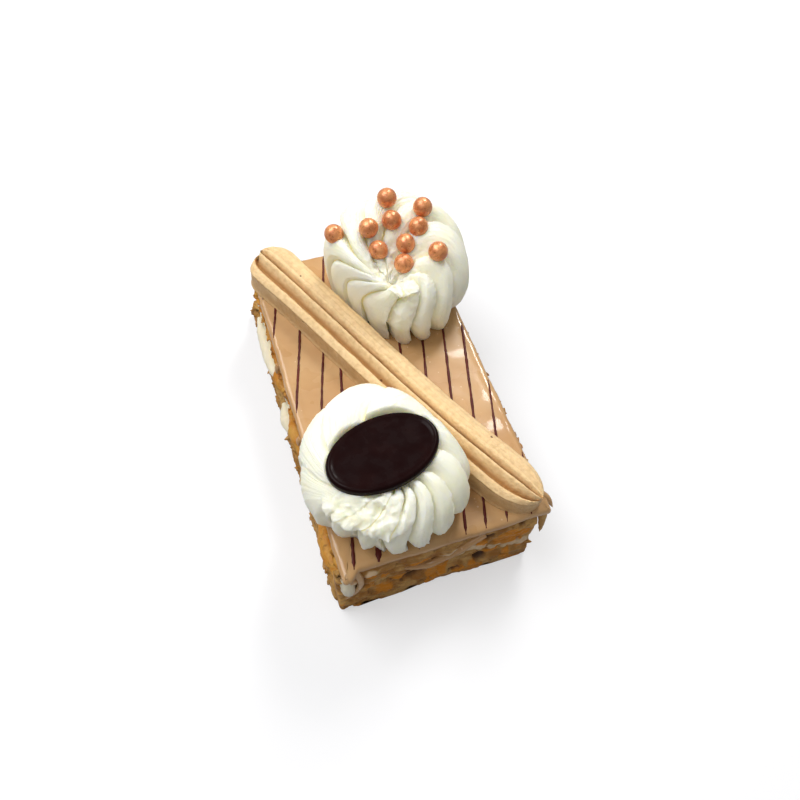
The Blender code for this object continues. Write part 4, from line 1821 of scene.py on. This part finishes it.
@dataclass
class Plaque:
    """The bare oval chocolate plaque, with a soft rim. Sizes are in millimetres."""

    width: float = 28.4
    depth: float = 18.8
    thickness: float = 2.6
    centre: Triple = (-11.6, -30.4, 41.6)
    turn: float = math.radians(11)
    tilt: float = math.radians(-3)
    rounding: float = 0.9
    foot_inset: float = 1.5
    grip: float = 0.97
    give: float = 22.0
    around: int = 160

    def underside(self, points: Array) -> Array:
        """Gives how high cream may stand under and round the plaque.

        Args:
            points: Places in millimetres.

        Returns:
            The highest level at each place.
        """
        offset = points[..., :2] - self.centre[:2]
        along = offset @ (math.cos(self.turn), math.sin(self.turn))
        across = offset @ (-math.sin(self.turn), math.cos(self.turn))
        level = self.centre[2] - 0.55 * self.thickness + math.tan(self.tilt) * across
        beyond = np.hypot(along / (self.width / 2), across / (self.depth / 2)) - self.grip
        return level + self.give * np.maximum(0, beyond)

    def rows(self) -> list[Pair]:
        """Gives the plaque's outline from its underside over the rim to the middle of its top.

        Returns:
            How far out from the rim each row is, and how high, as a share of the thickness.
        """
        rounding, quarter = self.rounding, math.pi / 2
        rows = [(-self.foot_inset, -0.5)]
        for t in np.linspace(0, quarter, 7):
            rows.append((-rounding * (1 - math.sin(t)), -0.5 + 0.26 * (1 - math.cos(t))))
        for t in np.linspace(0, quarter, 12):
            rows.append((-rounding * (1 - math.cos(t)), 0.12 + 0.38 * math.sin(t)))
        top = ((0.5, 0.47), (0.9, 0.435), (1.4, 0.42), (3.5, 0.42), (6.5, 0.42))
        return rows + [(-rounding - inward, up) for inward, up in top]

    def build(self, wardrobe: Wardrobe) -> None:
        """Builds the plaque.

        Args:
            wardrobe: The materials.
        """
        turns = np.linspace(0, TURN, self.around, endpoint=False)
        rings = []
        for outward, up in self.rows():
            x = (self.width / 2 + outward) * np.cos(turns)
            y = (self.depth / 2 + outward) * np.sin(turns)
            rings.append(np.column_stack([x, y, np.full(self.around, up * self.thickness)]))
        rings = np.array(rings)
        rings[..., 2] += 0.03 * value_noise(rings, 6, 91)
        turned = Matrix.Rotation(self.turn, 3, "Z") @ Matrix.Rotation(self.tilt, 3, "X")
        placed = rings @ np.array(turned).T + np.array(self.centre)
        finish_piece(ring_object("oval_plaque", placed), ("plaque",), wardrobe.plaque)


class Fold(NamedTuple):
    """A fold: the heading of its edge, how far that winds on to the hub, in degrees, and its crease's depth."""

    heading: float
    winding: float
    depth: float


class Ledge(NamedTuple):
    """A torn ledge: its first and last heading, where it is on the outline, and how far it hangs over."""

    first: float
    last: float
    place: float
    reach: float


class Bite(NamedTuple):
    """A gap in the rim: its heading, half its width in degrees, and its depth."""

    heading: float
    half_width: float
    depth: float


class Tear(NamedTuple):
    """A torn tip: where it points to, how far off it draws cream in, and how strongly."""

    x: float
    y: float
    z: float
    reach: float
    pull: float


class RoughSpot(NamedTuple):
    """A crumpled spot: its middle, its size and how crumpled it is."""

    x: float
    y: float
    size: float
    amount: float


@dataclass
class Swirl:
    """A star-tube swirl of whipped cream, whose folds wind in to an off-centre hub. Sizes are in millimetres."""

    name: str
    node: str
    centre: Pair
    radius: float
    height: float
    hub: Pair
    folds: tuple[Fold, ...]
    press_side: Pair
    press_limit: float
    lean: Pair
    seed: int
    tears: tuple[Tear, ...] = ()
    rough_spots: tuple[RoughSpot, ...] = ()
    ledges: tuple[Ledge, ...] = ()
    bites: tuple[Bite, ...] = ()
    cover: Plaque | None = None
    hub_height: float = 0.80
    crest_at: float = 0.36
    shoulder_at: float = 0.80
    shoulder_height: float = 0.45
    tuck: float = 0.10
    depth: float = 2.9
    lip: float = 0.05
    lap: float = 0.045
    swell_at: float = 0.66
    edge_level: float = 0.86
    torn_reach: float = 0.31
    base: float = 22.7
    rows: int = 136
    side_rows: int = 34
    columns: int = 600
    fewest: int = 34
    lip_columns: int = 9
    drop_columns: int = 8

    def profile(self, part: Array) -> tuple[Array, Array]:
        """Gives the swirl's outline from the hub out to the base.

        Args:
            part: Shares of the way along the outline, 0 to 1.

        Returns:
            How far out and how high each place is, as shares of radius and height.
        """
        low = self.shoulder_height
        rise = part / self.crest_at
        turn = math.pi / 2 * (part - self.crest_at) / (self.shoulder_at - self.crest_at)
        fall = (part - self.shoulder_at) / (1 - self.shoulder_at)
        inner, middle = part < self.crest_at, part < self.shoulder_at
        lifted = self.hub_height + (1 - self.hub_height) * np.sin(math.pi / 2 * np.minimum(rise, 1)) ** 2
        side = np.where(middle, 0.5 + 0.5 * np.sin(turn), 1 - self.tuck * fall**2)
        flank = np.where(middle, low + (1 - low) * np.cos(turn), low * (1 - fall))
        return np.where(inner, 0.5 * rise, side), np.where(inner, lifted, flank)

    def facing(self, part: Array) -> tuple[Array, Array]:
        """Gives which way the outline faces, out and up.

        Args:
            part: Shares of the way along the outline.

        Returns:
            The outward and the upward part of each direction.
        """
        ahead, above = self.profile(part + 0.01)
        behind, below = self.profile(part - 0.01)
        run, climb = (ahead - behind) * self.radius, (above - below) * self.height
        size = np.hypot(run, climb)
        return -climb / size, run / size

    def spans(self) -> tuple[Array, Array, Array]:
        """Shares the columns out over the folds, closest at each edge.

        Returns:
            For each column its fold's number, how far through the fold it is, and where the fold's edge is.
        """
        rims = np.radians([fold.heading for fold in self.folds])
        widths = np.diff(np.concatenate([[rims[-1] - TURN], rims]))
        numbers, within, edges = [], [], []
        for number, width in enumerate(widths):
            edge = 1 - min(0.24, self.lip / width)
            from_lip, to_lip = edge - 0.4 * (1 - edge), edge + 0.25 * (1 - edge)
            count = max(self.fewest, round(self.columns * width / TURN))
            climbing = count - self.lip_columns - self.drop_columns
            climb = np.linspace(0, from_lip, climbing, endpoint=False)
            crest = np.linspace(from_lip, to_lip, self.lip_columns, endpoint=False)
            fall = np.linspace(to_lip, 1, self.drop_columns, endpoint=False)
            numbers += [number] * count
            within += list(np.concatenate([climb, crest, fall]))
            edges += [edge] * count
        return np.array(numbers), np.array(within), np.array(edges)

    def ridge(self, within: Array, edge: Array) -> tuple[Array, Array, Array]:
        """Gives how a fold swells out, curls in to its edge and drops into the next crease.

        Args:
            within: How far through its fold each column is.
            edge: Where the fold's edge is.

        Returns:
            How far each column stands out, and how far up and down the fold it is, all as shares.
        """
        up_part = np.clip(within / edge, 0, 1)
        down_part = np.clip((within - edge) / (1 - edge), 0, 1)
        filling_out = 1 - np.abs(1 - np.minimum(up_part / self.swell_at, 1)) ** 1.9
        curled = np.clip((up_part - self.swell_at) / (1 - self.swell_at), 0, 1) ** 2
        climbing = filling_out - (1 - self.edge_level) * curled
        return np.where(within < edge, climbing, self.edge_level * (1 - down_part) ** 0.8), up_part, down_part

    def wound(
        self, number: Array, within: Array, reach: Array, leaning: Array
    ) -> tuple[Array, Array]:
        """Winds the folds in towards the hub.

        Args:
            number: Each column's fold.
            within: How far through that fold it is.
            reach: How far out each row is.
            leaning: How much each place leans over the next fold.

        Returns:
            Each place's heading in radians, and its crease's share of the usual depth.
        """
        before = self.folds[-1]
        folds = [Fold(before.heading - 360, before.winding, before.depth), *self.folds]
        rims, winds, shares = (np.array(column) for column in zip(*folds))
        rims, winds = np.radians(rims), np.radians(winds)
        unwound = 1 - np.minimum(reach, 1) ** 1.6
        start = rims[number] + winds[number] * unwound
        end = rims[number + 1] + winds[number + 1] * unwound
        heading = start + (end - start) * within + self.lap * leaning
        growth = (shares[number + 1] - shares[number]) * smooth_step(within, 0.3, 0.9)
        return heading, shares[number] + growth

    def combing(self, track: Array, teeth: Array) -> Array:
        """Gives the fine lines that the tube leaves along the folds, and the ragged teeth at their edges.

        Args:
            track: Places along and across the folds.
            teeth: How ragged each place is.

        Returns:
            How far each place stands out, in millimetres.
        """

        def lines(across: float, along: float, seed: int) -> Array:
            """Gives seeded noise that is finer across the folds than along them, or the other way."""
            return value_noise(track * (across, along, 1), 1, self.seed + seed)

        combed = 0.09 * lines(22, 0.7, 3) + 0.08 * lines(48, 2.0, 4)
        return combed + teeth * (0.26 * lines(3, 9, 5) + 0.2 * lines(3, 24, 6))

    def overhang(self, heading: Array, part: Array) -> tuple[Array, Array]:
        """Works out how far the torn ledges hang over the folds below them, and how far the bites cut in.

        Args:
            heading: Each place's heading, in radians.
            part: Its share of the way along the outline.

        Returns:
            How far each place stands out, in millimetres, and how much of it belongs to a ledge, 0 to 1.
        """
        total, belongs = np.zeros(heading.shape), np.zeros(heading.shape)
        turned = np.degrees(heading) % 360
        for first, last, place, reach in self.ledges:
            spot = np.stack([turned / 9, 0 * turned, 0 * turned + place * 50], axis=-1)
            edge = place + 0.035 * rough_noise(spot, 1, self.seed + 50) + 0 * part
            share = smooth_step(turned, first, first + 14) * (1 - smooth_step(turned, last - 14, last))
            rise = smooth_step(part, edge - 0.22, edge) ** 1.5
            rise = rise * (1 - smooth_step(part, edge + 0.004, edge + 0.03))
            ragged = 1 + 0.5 * rough_noise(spot * 2.6, 1, self.seed + 51)
            total = total + reach * share * rise * ragged
            over = smooth_step(part, 0.15, 0.3) * (1 - smooth_step(part, edge, edge + 0.03))
            belongs = np.maximum(belongs, share * over)
        for bite in self.bites:
            away = (np.degrees(heading) - bite.heading + 180) % 360 - 180
            near = np.exp(-((away / bite.half_width) ** 2))
            total = total - bite.depth * near * smooth_step(part, 0.58, 0.72)
        return total, belongs

    def placed(self, heading: Array, reach: Array, distance: Array, high: Array) -> Array:
        """Puts places round the hub, pressed in at the bar's side and leaning.

        Args:
            heading: Each place's heading, in radians.
            reach: How far out each row is.
            distance: How far each place is from the hub, in millimetres.
            high: How high it is.

        Returns:
            The places.
        """
        centre, side = np.array(self.centre), np.array(self.press_side)
        hub = np.array(self.hub) * ((1 - np.minimum(reach, 1)) ** 1.3)[..., None]
        way = np.stack([np.cos(heading), np.sin(heading)], axis=-1)
        offset = hub + way * np.maximum(0, distance)[..., None]
        toward = np.maximum(0, offset @ side)
        pressed = toward / (1 + (toward / self.press_limit) ** 4) ** 0.25
        place = centre + offset + side * (pressed - toward)[..., None]
        high = high * (1 + (place - centre) @ np.array(self.lean) / self.radius)
        return np.concatenate([place, (self.base + np.maximum(0, high))[..., None]], axis=-1)

    def crumple(self, points: Array, torn: Array, level: Array) -> tuple[Array, Array]:
        """Crumples the torn places, and swells the whole surface unevenly.

        Args:
            points: The surface's places.
            torn: How torn each place is.
            level: How high each row is, as a share.

        Returns:
            The new places, and how far up each one was shaken.
        """
        seeds = [self.seed + k for k in range(3)]
        shake = np.stack([rough_noise(points, 2.6, seed + 20, 4) for seed in seeds], axis=-1)
        crumpled = np.stack([1 - 2.6 * np.abs(value_noise(points, 1.9, seed + 40)) for seed in seeds], axis=-1)
        points = points + (shake * (1.2, 1.2, 1.7) + crumpled * (0.25, 0.25, 0.55)) * torn[..., None]
        swell = np.stack([rough_noise(points, 5, seed + 30, 2) for seed in seeds], axis=-1)
        return points + 0.2 * swell * np.minimum(1, level / 0.1)[..., None], shake[..., 2]

    def surface(self) -> tuple[Array, Array]:
        """Works out the cream's surface.

        Returns:
            Rings from the base up to the hub, and the painted shade of each place, darkest deep in a crease.
        """
        top = np.linspace(0.012, 0.8, self.rows - self.side_rows, endpoint=False)
        part = np.concatenate([top, np.linspace(0.8, 1, self.side_rows)])[:, None]
        number, within, edge = self.spans()
        reach, level = self.profile(part)
        out, up = self.facing(part)
        rise, up_part, down_part = self.ridge(within, edge)
        leaning = smooth_step(up_part, 0.5, 1) * (1 - down_part) * np.minimum(1, reach / 0.5)
        heading, share = self.wound(number, within, reach, leaning)
        deep = self.depth * (1 - rise) * np.minimum(1, reach / 0.42) ** 0.8 * share
        flat = 0 * part * within
        track = np.stack([number + within + flat, reach * 4 + flat, flat + self.seed], axis=-1)
        teeth = np.exp(-(((within - edge) / (0.5 * (1 - edge))) ** 2)) * (0.35 + 0.65 * share)
        deep = deep - self.combing(track, teeth) * np.minimum(1, reach / 0.3)
        overhang, sheltered = self.overhang(heading, part)
        deep = deep * (1 - 0.92 * sheltered) * (1 + 0.8 * smooth_step(part, 0.72, 1))
        distance = self.radius * reach - deep * out + overhang
        high = self.height * level - deep * up * np.minimum(1, level / 0.2) + 0.35 * overhang
        points = self.placed(heading, reach, distance, high)
        torn = np.exp(-((reach / self.torn_reach) ** 2)) + 0.55 * sheltered
        for spot in self.rough_spots:
            away = ((points[..., :2] - (spot.x, spot.y)) ** 2).sum(axis=-1)
            torn = np.maximum(torn, spot.amount * np.exp(-away / spot.size**2))
        points, shaken = self.crumple(points, torn, level)
        # painted shade: darkest deep in each crease, changed where the torn cream is shaken
        crease = (1 - rise) ** 4.0 * np.minimum(1, reach / 0.2) * np.minimum(share, 1)
        if self.cover:
            points[..., 2] = np.minimum(points[..., 2], self.cover.underside(points))
        return points[::-1], np.clip(crease - torn * 0.45 * shaken, 0, 1)[::-1]

    def tear(self, points: Array) -> Array:
        """Pulls the cream out into torn tips.

        Args:
            points: The surface's places.

        Returns:
            The places, drawn towards each tip that is near enough.
        """
        for x, y, z, reach, pull in self.tears:
            gap = np.array((x, y, z)) - points
            share = np.clip(1 - np.linalg.norm(gap, axis=-1) / reach, 0, 1) ** 1.5 * pull
            points = points + gap * share[..., None]
        return points

    def build(self, wardrobe: Wardrobe) -> None:
        """Builds the swirl.

        Args:
            wardrobe: The materials.
        """
        points, crease = self.surface()
        piece = ring_object(self.name, keep_in_box(self.tear(points) * MM) / MM)
        # stores the painted crease shade that the cream's colour reads
        store(piece, "crease", np.concatenate([crease.ravel(), (0.0, 0.0)]))
        finish_piece(piece, (self.node,), wardrobe.whipped)


def swirls(plaque: Plaque) -> list[Swirl]:
    """Gives the back and the front swirl, each pressed in on the bar's side.

    Args:
        plaque: The plaque that lies on the front one.

    Returns:
        Both swirls.
    """
    side = (0.8899, 0.4561)
    back = Swirl(
        "back_swirl", "rosette_back", (11.4, 29.6), 21.8, 23.5, (-4.6, -9.8),
        (
            Fold(212, 35, 1.1), Fold(240, 32, 1.1), Fold(263, 36, 1.2), Fold(281, 42, 1.2), Fold(300, 64, 1.1),
            Fold(342, 76, 1.1), Fold(374, 92, 1.0), Fold(440, 55, 1.1), Fold(478, 62, 1.2), Fold(525, 48, 1.2),
            Fold(552, 38, 1.1),
        ),
        (-side[0], -side[1]), 16.8, (0.08, 0.26), 31,
        rough_spots=(RoughSpot(9.0, 14.5, 5.0, 0.7), RoughSpot(12.0, 17.5, 4.0, 0.8)),
        ledges=(Ledge(236, 286, 0.42, 1.3),),
    )
    front = Swirl(
        "front_swirl", "rosette_front", (-9.9, -28.9), 21.9, 19.5, (-1.5, -6.0),
        (
            Fold(208, 45, 1.0), Fold(226, 40, 1.3), Fold(247, 34, 1.0), Fold(264, 30, 1.2), Fold(281, 30, 1.3),
            Fold(300, 30, 1.2), Fold(322, 46, 1.0), Fold(362, 62, 0.45), Fold(410, 80, 0.8),
            Fold(465, 112, 0.55), Fold(520, 82, 0.5),
        ),
        side, 17.0, (0.0, 0.10), 57,
        tears=(
            Tear(-31.5, -37.2, 25.2, 4.2, 0.8), Tear(-28.0, -42.0, 24.4, 3.8, 0.9),
            Tear(-22.1, -45.9, 24.2, 3.8, 0.9),
        ),
        rough_spots=(RoughSpot(-17.0, -41.0, 6.0, 0.9), RoughSpot(-24.0, -38.5, 4.0, 0.6)),
        ledges=(Ledge(196, 268, 0.585, 2.2),), bites=(Bite(226, 7, 3.0), Bite(244, 5, 2.2), Bite(208, 4, 1.4)),
        cover=plaque,
    )
    return [back, front]


# -------------------- pearls


@dataclass
class Pearls:
    """The sugar pearls, each set where its CAD solid is."""

    count: int = 10
    radius: float = 2.8
    seed: int = 7

    def build(self, trees: Trees, wardrobe: Wardrobe) -> None:
        """Sets the pearls.

        Args:
            trees: The geometry trees.
            wardrobe: The materials.
        """
        nodes = tuple(f"pearl_{n + 1}" for n in range(self.count))
        centres = [(sum(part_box(node), Vector()) / 2) / MM for node in nodes]
        points = path_object("pearl_places", np.array(centres), np.ones(self.count))
        piece = trees.grow(
            points, trees.pearls, "sugar_pearls", radius=self.radius * MM, seed=self.seed, material=wardrobe.pearl
        )
        finish_piece(piece, nodes)


# -------------------- studio


@dataclass(frozen=True)
class Softbox:
    """A soft light that faces the slice: its place and size in metres, its power in watts and its tint."""

    name: str
    place: Triple
    size: Pair
    power: float
    tint: Triple = (1.0, 1.0, 1.0)

    def hang(self) -> None:
        """Adds the light to the scene."""
        data = bpy.data.lights.new(self.name, "AREA")
        data.shape = "RECTANGLE"
        data.size, data.size_y = self.size
        data.energy = self.power
        data.color = self.tint
        light = add_object(self.name, data)
        light.location = self.place
        light.rotation_mode = "QUATERNION"
        light.rotation_quaternion = (Vector((0, 0, 0.02)) - Vector(self.place)).to_track_quat("-Z", "Y")


@dataclass
class Studio:
    """The camera, the floor and the soft lights. Angles are in degrees, the camera's sizes in millimetres."""

    azimuth: float = -22.711
    elevation: float = 58.994
    roll: float = 4.851
    target: Triple = (6.394, 5.095, 0.0)
    distance: float = 217.049
    lens: float = 31.05
    sensor: float = 36.0
    floor_half: float = 1600.0
    floor_level: float = -0.02
    sky: float = 0.25
    warm: Triple = (1.0, 0.99, 0.97)

    def build(self, wardrobe: Wardrobe) -> None:
        """Sets up the whole studio.

        Args:
            wardrobe: The materials.
        """
        self.camera()
        self.floor(wardrobe)
        self.world()
        Softbox("right_softbox", (0.38, 0.48, 0.60), (0.22, 0.26), 2.7, self.warm).hang()
        Softbox("edge_softbox", (0.345, 0.375, 0.70), (0.09, 0.17), 0.9, self.warm).hang()
        Softbox("left_softbox", (-0.33, 0.31, 0.77), (0.62, 0.54), 6.0).hang()
        Softbox("front_fill", (-0.24, -0.28, 0.74), (0.4, 0.4), 0.8).hang()
        settings = bpy.context.scene.view_settings
        settings.view_transform, settings.look = "Standard", "None"

    def camera(self) -> None:
        """Places the camera on its line of sight."""
        around, above, roll = (math.radians(v) for v in (self.azimuth, self.elevation, self.roll))
        back = Vector((math.sin(around) * math.cos(above), -math.cos(around) * math.cos(above), math.sin(above)))
        right = Vector((0, 0, 1)).cross(back).normalized()
        up = back.cross(right)
        sideways = math.cos(roll) * right + math.sin(roll) * up
        upwards = math.cos(roll) * up - math.sin(roll) * right
        data = bpy.data.cameras.new("camera")
        data.lens, data.sensor_width = self.lens, self.sensor
        data.clip_start, data.clip_end = 0.01, 10.0
        camera = add_object("camera", data)
        turned = Matrix((sideways, upwards, back)).transposed().to_4x4()
        camera.matrix_world = Matrix.Translation((Vector(self.target) + back * self.distance) * MM) @ turned
        bpy.context.scene.camera = camera

    def floor(self, wardrobe: Wardrobe) -> None:
        """Lays the floor.

        Args:
            wardrobe: The materials.
        """
        corners = ((-1, -1), (1, -1), (1, 1), (-1, 1))
        places = np.array([(x * self.floor_half, y * self.floor_half, self.floor_level) for x, y in corners])
        floor = mesh_object("floor", places, [(0, 1, 2, 3)], smooth=False)
        floor.data.materials.append(wardrobe.floor)

    def world(self) -> None:
        """Lights the scene evenly from all round."""
        world = bpy.data.worlds.new("soft_sky")
        bpy.context.scene.world = world
        world.use_nodes = True
        background = world.node_tree.nodes["Background"]
        background.inputs["Color"].default_value = (1.0, 1.0, 1.0, 1.0)
        background.inputs["Strength"].default_value = self.sky


def main() -> None:
    """Builds the slice and its studio."""
    logging.basicConfig(level=logging.INFO, format="%(name)s: %(message)s")
    wardrobe = Wardrobe()
    trees = Trees()
    Layers().build(trees, wardrobe)
    FrontCrust().build(wardrobe)
    Daubs().build(trees, wardrobe)
    Drizzle().build(trees, wardrobe)
    PipedBar().build(trees, wardrobe)
    plaque = Plaque()
    for swirl in swirls(plaque):
        swirl.build(wardrobe)
    plaque.build(wardrobe)
    Pearls().build(trees, wardrobe)
    Studio().build(wardrobe)


if __name__ == "__main__":
    main()
